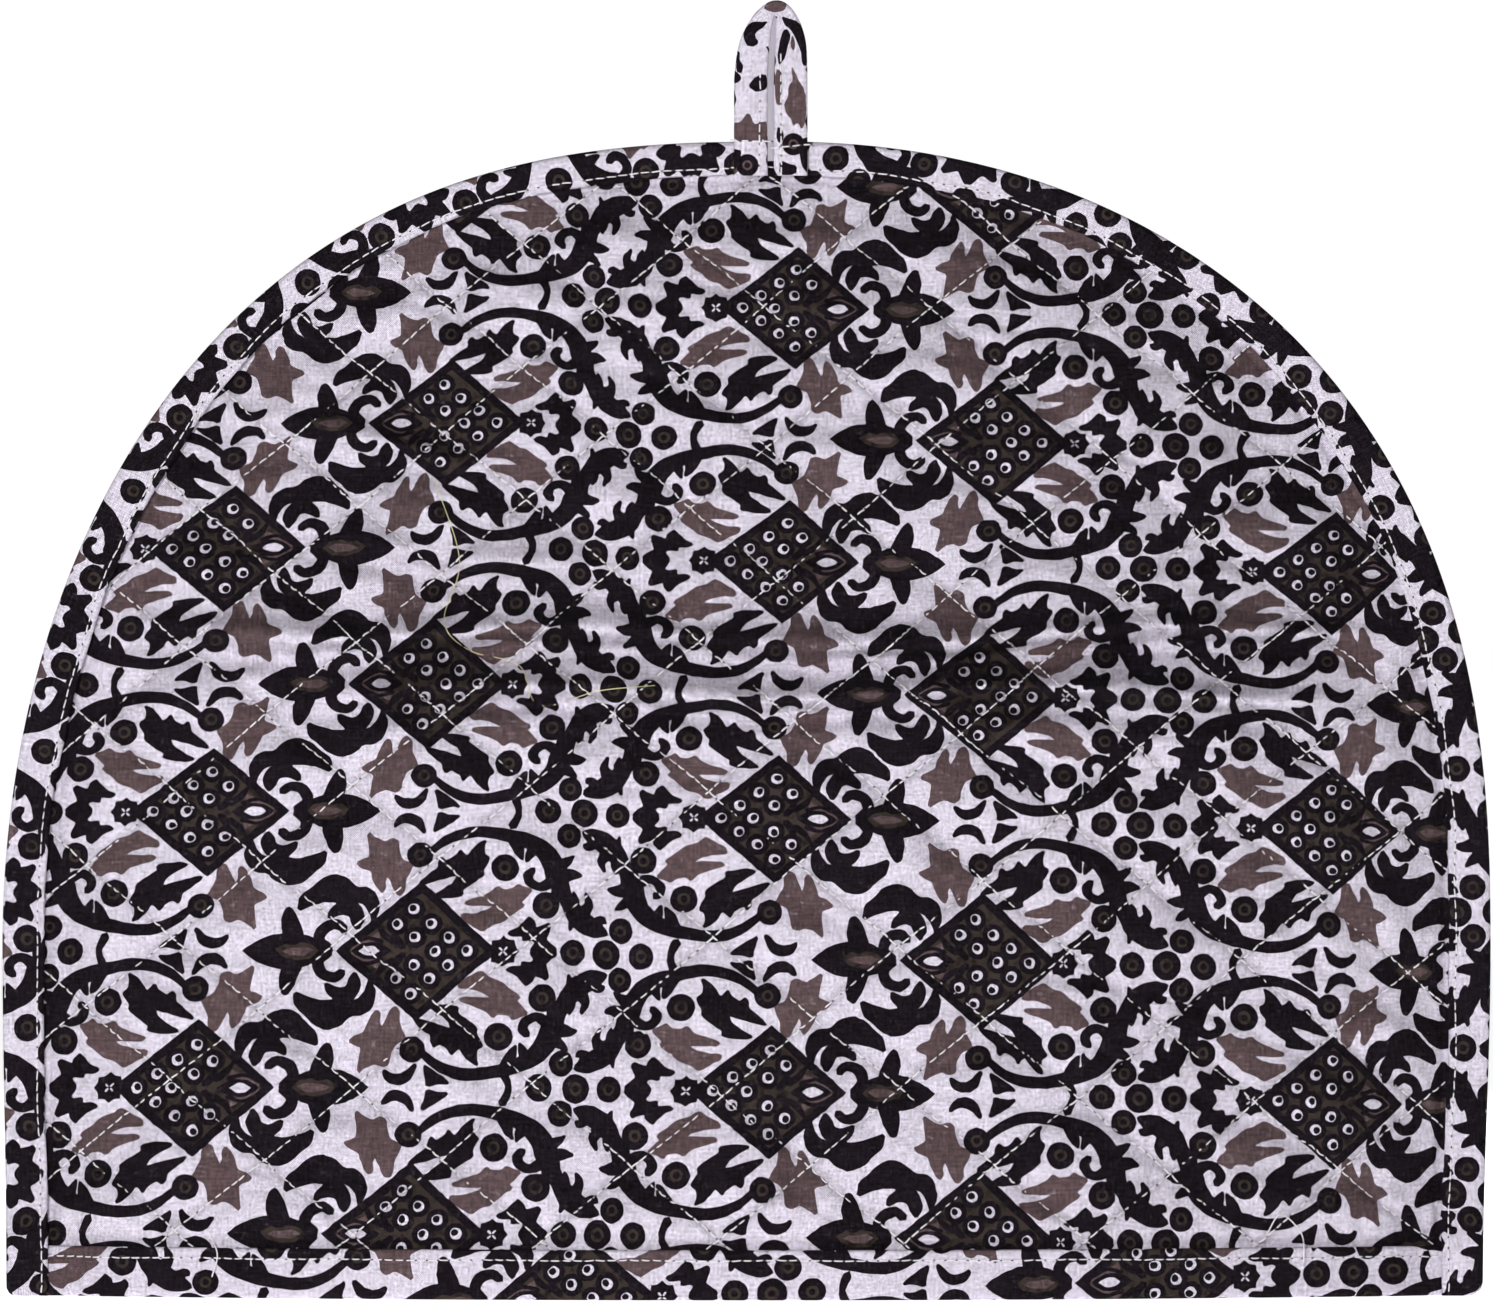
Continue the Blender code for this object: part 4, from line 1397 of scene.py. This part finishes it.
stitchSet = {
    "quilting": {"pitch": 0.0027, "length": 0.0022, "thread": 0.00042, "hole": 0.00025,
                 "sides": 5, "steps": 4, "seed": 11},
    "inside": {"pitch": 0.0027, "length": 0.00215, "thread": 0.00044, "hole": 0.00028,
               "sides": 4, "steps": 2, "seed": 17},
    "topstitch": {"pitch": 0.0027, "length": 0.0021, "thread": 0.00036, "hole": 0.00024,
                  "sides": 5, "steps": 4, "seed": 23},
    "loop": {"pitch": 0.0024, "length": 0.0018, "thread": 0.00034, "hole": 0.00022,
             "sides": 6, "steps": 4, "seed": 31},
    "rise": 0.00019,  # how far a row stands off the cloth
    "rowStep": 0.0008,
    "rowReach": 0.36,  # past the cover on either side
    "fromEdge": 0.0085,  # quilting ends under the tapes, this far from the cover's edge
    "fewestPoints": 12,
}


stitchInputs = {
    "NodeSocketGeometry": ("Geometry",),
    "NodeSocketFloat": ("Pitch", "Stitch length", "Thread width", "Hole size"),
    "NodeSocketInt": ("Thread sides", "Arch steps", "Seed"),
    "NodeSocketMaterial": ("Thread", "Hole"),
}


def addTo(tree, kind, settings=None, sockets=None):
    node = tree.nodes.new(kind)
    for name, value in (settings or {}).items():
        setattr(node, name, value)
    for name, value in (sockets or {}).items():
        if isinstance(value, bpy.types.NodeSocket):
            tree.links.new(value, node.inputs[name])
        else:
            node.inputs[name].default_value = value
    return node.outputs[0]


def maths(tree, operation, first, second):
    return addTo(tree, "ShaderNodeMath", {"operation": operation}, {0: first, 1: second})


def oneStitch(tree, given):
    # a short arched tube whose ends dive into the cloth
    halfLength = maths(tree, "MULTIPLY", given["Stitch length"], 0.5)
    buried = maths(tree, "MULTIPLY", given["Thread width"], -0.75)
    behind = maths(tree, "MULTIPLY", halfLength, -1.0)
    start = addTo(tree, "ShaderNodeCombineXYZ", None, {0: behind, 2: buried})
    top = addTo(tree, "ShaderNodeCombineXYZ", None, {2: given["Thread width"]})
    end = addTo(tree, "ShaderNodeCombineXYZ", None, {0: halfLength, 2: buried})
    arch = addTo(tree, "GeometryNodeCurveQuadraticBezier", None,
                 {"Resolution": given["Arch steps"], "Start": start, "Middle": top, "End": end})
    radius = maths(tree, "MULTIPLY", given["Thread width"], 0.5)
    rim = addTo(tree, "GeometryNodeCurvePrimitiveCircle", None,
                {"Resolution": given["Thread sides"], "Radius": radius})
    return addTo(tree, "GeometryNodeCurveToMesh", None,
                 {"Curve": arch, "Profile Curve": rim, "Fill Caps": False})


def oneHole(tree, given):
    # the needle's hole between one stitch and the next, a flat dark disc of painted shade
    dot = addTo(tree, "GeometryNodeMeshCircle", {"fill_type": "NGON"},
                {"Vertices": 6, "Radius": given["Hole size"]})
    beside = addTo(tree, "ShaderNodeCombineXYZ", None, {0: maths(tree, "MULTIPLY", given["Pitch"], 0.5)})
    return addTo(tree, "GeometryNodeTransform", None,
                 {0: dot, "Translation": beside, "Scale": (1.3, 0.85, 1)})


def stitchTree():
    # stitches along each edge of a guide mesh, whose points hold the direction away from the cloth
    tree = bpy.data.node_groups.new("running stitches", "GeometryNodeTree")
    tree.interface.new_socket("Geometry", in_out="OUTPUT", socket_type="NodeSocketGeometry")
    for kind, labels in stitchInputs.items():
        for label in labels:
            tree.interface.new_socket(label, in_out="INPUT", socket_type=kind)
    given = tree.nodes.new("NodeGroupInput").outputs
    row = addTo(tree, "GeometryNodeMeshToCurve", None, {"Mesh": given["Geometry"]})
    spaced = addTo(tree, "GeometryNodeResampleCurve", {"mode": "LENGTH"},
                   {"Curve": row, "Length": given["Pitch"]})
    ahead = addTo(tree, "GeometryNodeInputTangent")
    outward = addTo(tree, "GeometryNodeInputNamedAttribute", {"data_type": "FLOAT_VECTOR"},
                    {"Name": "outward"})
    turned = addTo(tree, "FunctionNodeAlignRotationToVector", {"axis": "X"}, {"Vector": ahead})
    settled = addTo(tree, "FunctionNodeAlignRotationToVector", {"axis": "Z", "pivot_axis": "X"},
                    {"Rotation": turned, "Vector": outward})
    # no two stitches lie quite alike
    tilt = addTo(tree, "FunctionNodeRandomValue", {"data_type": "FLOAT_VECTOR"},
                 {"Min": (-0.03, -0.03, -0.09), "Max": (0.03, 0.03, 0.09), "Seed": given["Seed"]})
    askew = addTo(tree, "FunctionNodeRotateRotation", {"rotation_space": "LOCAL"},
                  {0: settled, 1: addTo(tree, "FunctionNodeEulerToRotation", None, {0: tilt})})
    size = addTo(tree, "FunctionNodeRandomValue", {"data_type": "FLOAT_VECTOR"},
                 {"Min": (0.82, 0.85, 0.85), "Max": (1.10, 1.1, 1.1),
                  "Seed": maths(tree, "ADD", given["Seed"], 1.0)})
    stitches = addTo(tree, "GeometryNodeInstanceOnPoints", None,
                     {"Points": spaced, "Instance": oneStitch(tree, given), "Rotation": askew, "Scale": size})
    holes = addTo(tree, "GeometryNodeInstanceOnPoints", None,
                  {"Points": spaced, "Instance": oneHole(tree, given), "Rotation": settled})
    whole = tree.nodes.new("GeometryNodeJoinGeometry")
    for instances, material in ((stitches, given["Thread"]), (holes, given["Hole"])):
        real = addTo(tree, "GeometryNodeRealizeInstances", None, {0: instances})
        smooth = addTo(tree, "GeometryNodeSetShadeSmooth", None, {0: real})
        dressed = addTo(tree, "GeometryNodeSetMaterial", None, {"Geometry": smooth, "Material": material})
        tree.links.new(dressed, whole.inputs[0])
    tree.links.new(whole.outputs[0], tree.nodes.new("NodeGroupOutput").inputs[0])
    return tree


runningStitches = stitchTree()


def meshFrom(guide, name):
    mesh = bpy.data.meshes.new_from_object(guide.evaluated_get(bpy.context.evaluated_depsgraph_get()))
    mesh.name = name
    bpy.data.objects.remove(guide)
    return mesh


def sewn(name, rows, values, thread):
    # rows: (points, outward directions) for each stitched line
    points, outward, edges = [], [], []
    for line, normals in rows:
        first = len(points)
        points += [tuple(p) for p in line]
        outward += [tuple(n) for n in normals]
        edges += [(i, i + 1) for i in range(first, len(points) - 1)]
    mesh = bpy.data.meshes.new(name)
    mesh.from_pydata(points, edges, [])
    mesh.attributes.new("outward", "FLOAT_VECTOR", "POINT").data.foreach_set(
        "vector", np.array(outward, np.float32).ravel())
    guide = linked(name + "Guide", mesh)
    modifier = guide.modifiers.new("stitches", "NODES")
    modifier.node_group = runningStitches
    sockets = runningStitches.interface.items_tree
    given = {item.name: item.identifier for item in sockets if item.in_out == "INPUT"}
    for label, value in (("Pitch", values["pitch"]), ("Stitch length", values["length"]),
                         ("Thread width", values["thread"]), ("Thread sides", values["sides"]),
                         ("Arch steps", values["steps"]), ("Seed", values["seed"]), ("Thread", thread),
                         ("Hole size", values["hole"]), ("Hole", needleHoleShade)):
        modifier[given[label]] = value
    result = meshFrom(guide, name)
    for attribute in [item.name for item in result.attributes if item.name == "outward"]:
        result.attributes.remove(result.attributes[attribute])
    corners = np.empty(len(result.loops), np.int32)
    result.loops.foreach_get("vertex_index", corners)
    places = np.empty(len(result.vertices) * 3, np.float32)
    result.vertices.foreach_get("co", places)
    flat = places.reshape(-1, 3)[corners][:, [0, 2]].astype(float)
    addMaps(result, flat, flat.min(axis=0), flat.max(axis=0))
    obj = linked(name, result)
    print(f"{name}: {len(result.polygons)} faces")
    return obj


def normalsOf(place, a, b, flip=1.0, step=0.0002):
    # the surface's outward direction, from two short steps on it
    here = np.column_stack(place(a, b))
    alongA = np.column_stack(place(a + step, b)) - here
    alongB = np.column_stack(place(a, b + step)) - here
    across = np.cross(alongA, alongB) * flip
    return across / np.linalg.norm(across, axis=1)[:, None]


def sewnRow(place, a, q, flip):
    normals = normalsOf(place, a, q, flip)
    return np.column_stack(place(a, q)) + normals * stitchSet["rise"], normals


def quiltRow(distance, rising, shift):
    # one line of quilting as (x, z), from tape to tape
    along = np.arange(-stitchSet["rowReach"], stitchSet["rowReach"], stitchSet["rowStep"])
    lean = 1 if rising else -1
    x = -lean * (distance + shift) * slopeSin + along * slopeCos
    z = (distance + shift) * slopeCos + lean * along * slopeSin
    drift = rowDrift(x, z, 3 if rising else 0)
    x, z = x + lean * drift * slopeSin, z - drift * slopeCos
    onCover = (domeFill(x, z, 0) < 1) & (z > hemLine - 0.002)
    x, z = x[onCover], z[onCover]
    clear = edgeDistance(x, z) > stitchSet["fromEdge"]
    return x[clear], z[clear]


def quiltRows(side, shift, face):
    # the lines of quilting on one face of a panel
    place = skinOf(side, shift, face)
    rows = []
    for rising, distances in ((False, quiltSet["falling"]), (True, quiltSet["rising"])):
        for distance in distances:
            x, z = quiltRow(distance, rising, shift)
            if len(x) >= stitchSet["fewestPoints"]:
                rows.append(sewnRow(place, x, z, -side * face))
    return rows


quilting, insideSewing = stitchSet["quilting"], stitchSet["inside"]
frontStitches = sewn("frontQuiltingStitches", quiltRows(-1, 0.0, 1), quilting, whiteThread)
backStitches = sewn("backQuiltingStitches", quiltRows(1, backShift, 1), quilting, whiteThread)
insideFront = sewn("frontLiningStitches", quiltRows(-1, 0.0, -1), insideSewing, whiteThread)
insideBack = sewn("backLiningStitches", quiltRows(1, backShift, -1), insideSewing, whiteThread)


def bindingStitchRow(sign):
    a = np.arange(0.0015, edgeLength - 0.0015, stitchSet["rowStep"])
    x, z, _, _ = edgeFrame(a)
    flatEnd = foldedTape(np.zeros_like(a), bindingHalf(z), bindingWidth(z, a), cornerRecess(x, z),
                         bindingSet["round"], bindingSet["turnIn"])[2]
    q = sign * (flatEnd - bindingSet["stitchIn"] + 0.00012 * np.sin(a * 210))
    return sewnRow(bindingPoint, a, q, -1.0)


def hemStitchRow(side, sign):
    a = np.arange(hemEnds[0] + 0.007, hemEnds[1] - 0.006, stitchSet["rowStep"])
    flatEnd = foldedTape(np.zeros(1), hemHalf, coverSet["hemHeight"], 0, hemSet["round"], hemSet["turnIn"])[2]
    q = sign * (flatEnd - hemSet["stitchIn"]) + 0.0001 * np.sin(a * 180)
    return sewnRow(hemPoint(side), a, q, 1.0 if side < 0 else -1.0)


topRows = [bindingStitchRow(sign) for sign in (-1, 1)]
topRows += [hemStitchRow(side, sign) for side in (-1, 1) for sign in (-1, 1)]
topStitches = sewn("tapeTopStitches", topRows, stitchSet["topstitch"], whiteThread)


# ends (x, z) of each sewn row on the loop's front, in millimetres
loopSeams = (
    ((3.3, 292.0), (3.0, 268.8)),
    ((8.2, 296.0), (8.3, 268.8)),
    ((-2.9, 276.2), (4.9, 276.0)),
    ((6.9, 274.5), (14.3, 275.2)),
)


def loopRow(x0, z0, x1, z1):
    share = np.linspace(0, 1, max(8, round(math.hypot(x1 - x0, z1 - z0) / 0.7)))
    a, q = loopFlat((x0 + share * (x1 - x0)) / 1000, (z0 + share * (z1 - z0)) / 1000)
    return sewnRow(loopPoint, a, q, 1.0)


seams = [loopRow(*start, *end) for start, end in loopSeams]
loopStitches = sewn("loopStitches", seams, stitchSet["loop"], whiteThread)

looseSet = {
    "yellowWidth": 0.00022,
    "whiteWidth": 0.00034,
    # places (x, z) on the front, in metres
    "yellow": ((-0.0744, 0.1952), (-0.0684, 0.1760), (-0.0720, 0.1617), (-0.0660, 0.1545), (-0.0541, 0.1509),
               (-0.0493, 0.1414), (-0.0349, 0.1450), (-0.0218, 0.1462)),
    "white": (((-0.1275, 0.0050), (-0.1262, 0.0105), (-0.1285, 0.0160)),
              ((0.1240, 0.0150), (0.1275, 0.0198), (0.1325, 0.0150), (0.1330, 0.0085))),
}


def looseEnd(name, places, width, thread):
    line = smoothLine(np.array(places), 10)
    x, z = line[:, 0], line[:, 1]
    skin = panelSkin(x, z, 0.0, 1)
    # it lies on the quilt, and over the hem strip below the strip's top
    stripTop = coverSet["hemHeight"]
    overHem = hemHalf + 0.0012 * easeIn(-z, -stripTop - 0.0015, -stripTop)
    hemY = -panelDepth(x, np.zeros_like(x)) - overHem
    y = np.where(z < stripTop + 0.0008, np.minimum(hemY, -skin), -skin) - width * 0.6
    curve = bpy.data.curves.new(name, "CURVE")
    curve.dimensions, curve.bevel_depth, curve.bevel_resolution = "3D", width / 2, 1
    curve.use_fill_caps = True
    spline = curve.splines.new("POLY")
    spline.points.add(len(x) - 1)
    for point, place in zip(spline.points, zip(x, y, z)):
        point.co = (*place, 1)
    mesh = meshFrom(linked(name + "Guide", curve), name)
    mesh.materials.clear()
    mesh.materials.append(thread)
    return finishedMesh(mesh)


looseYellow = looseEnd("looseYellowThread", looseSet["yellow"], looseSet["yellowWidth"], yellowThread)
looseWhite = [looseEnd(f"looseWhiteThread{index + 1}", places, looseSet["whiteWidth"], whiteThread)
              for index, places in enumerate(looseSet["white"])]
print("stitching made")

# what each piece rides on, and the solids it stands for
standsFor = (
    (frontPanel, ("front_panel",), "printed_quilt"),
    (backPanel, ("back_panel",), "printed_quilt"),
    (frontLining, ("front_panel",), "printed_quilt"),
    (backLining, ("back_panel",), "printed_quilt"),
    (binding, ("edge_binding",), "printed_tape"),
    (frontHem, ("front_hem_strip",), "printed_tape"),
    (backHem, ("back_hem_strip",), "printed_tape"),
    (loop, ("hanging_loop",), "loop_tape"),
    (loopFold, ("hanging_loop",), "loop_tape"),
)
for obj, nodes, slotName in standsFor:
    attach(obj, "root")
    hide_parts(*nodes)
for slotName, pieces in (
        ("printed_quilt", (frontStitches, backStitches, insideFront, insideBack)),
        ("printed_tape", (topStitches,)),
        ("loop_tape", (loopStitches,)),
        ("printed_quilt", (looseYellow, *looseWhite))):
    for obj in pieces:
        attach(obj, "root")

# the cover's flat area, and each hem strip's length laid out with its turnings
coverArea = abs(doubleArea(coverEdge)) / 2
for obj, panel in ((frontHem, frontPanel), (backHem, backPanel)):
    hemEnds[1] - hemEnds[0] + 0.012


stageSet = {
    "viewWidth": 0.3572,  # what the picture takes in, side to side
    "viewCentre": (0.0, 0.0, 0.1540),
    "cameraFar": 8.0,
    "cameraRise": 0.4,  # degrees above level
    "floorSize": 5.0,  # from its middle to its edge
    "floorColour": (0.86, 0.86, 0.86),
    "floorGlow": 0.90,
    "skyLight": 0.04,
    "skySeen": 1.02,
    "skyColour": (1.0, 0.985, 1.0),
    "keyPlace": (-0.56, -2.1, 0.55),
    "keySize": 0.35,
    "keyPower": 34.0,
    "backPlace": (0.80, 2.0, 0.75),
    "backSize": 0.60,
    "backPower": 30.0,
}


def makeFloor():
    size = stageSet["floorSize"]
    mesh = bpy.data.meshes.new("floor")
    corners = [(-size, -size, 0), (size, -size, 0), (size, size, 0), (-size, size, 0)]
    mesh.from_pydata(corners, [], [(0, 1, 2, 3)])
    floor = linked("floor", mesh)
    material, _, shader = newMaterial("pale floor", 0.8, 0.1)
    shader.inputs["Base Color"].default_value = (*stageSet["floorColour"], 1)
    shader.inputs["Emission Color"].default_value = (1, 1, 1, 1)
    shader.inputs["Emission Strength"].default_value = stageSet["floorGlow"]
    mesh.materials.append(material)


def areaLight(name, place, size, power):
    light = bpy.data.lights.new(name, "AREA")
    light.size, light.energy = size, power
    obj = linked(name, light)
    obj.location = place
    toCover = Vector(stageSet["viewCentre"]) - Vector(place)
    obj.rotation_euler = toCover.to_track_quat("-Z", "Y").to_euler()


def makeSky():
    world = bpy.data.worlds.new("white room")
    world.use_nodes = True
    tree = world.node_tree
    background = tree.nodes["Background"]
    background.inputs["Color"].default_value = (*stageSet["skyColour"], 1)
    # the camera sees a white room, and the cover gets only a little light from it
    seen = addNode(tree, "ShaderNodeLightPath")
    strength = stageSet["skyLight"] + seen * (stageSet["skySeen"] - stageSet["skyLight"])
    tree.links.new(strength.socket, background.inputs["Strength"])
    bpy.context.scene.world = world


def makeCamera():
    data = bpy.data.cameras.new("camera")
    data.sensor_width = 36
    data.lens = data.sensor_width * stageSet["cameraFar"] / stageSet["viewWidth"]
    data.clip_end = 100
    camera = linked("camera", data)
    rise = math.radians(stageSet["cameraRise"])
    centre = Vector(stageSet["viewCentre"])
    camera.location = centre + stageSet["cameraFar"] * Vector((0, -math.cos(rise), math.sin(rise)))
    camera.rotation_euler = (math.pi / 2 - rise, 0, 0)
    bpy.context.scene.camera = camera


makeFloor()
areaLight("key light", stageSet["keyPlace"], stageSet["keySize"], stageSet["keyPower"])
areaLight("back light", stageSet["backPlace"], stageSet["backSize"], stageSet["backPower"])
makeSky()
makeCamera()
bpy.context.scene.view_settings.view_transform = "Standard"
print("stage set")
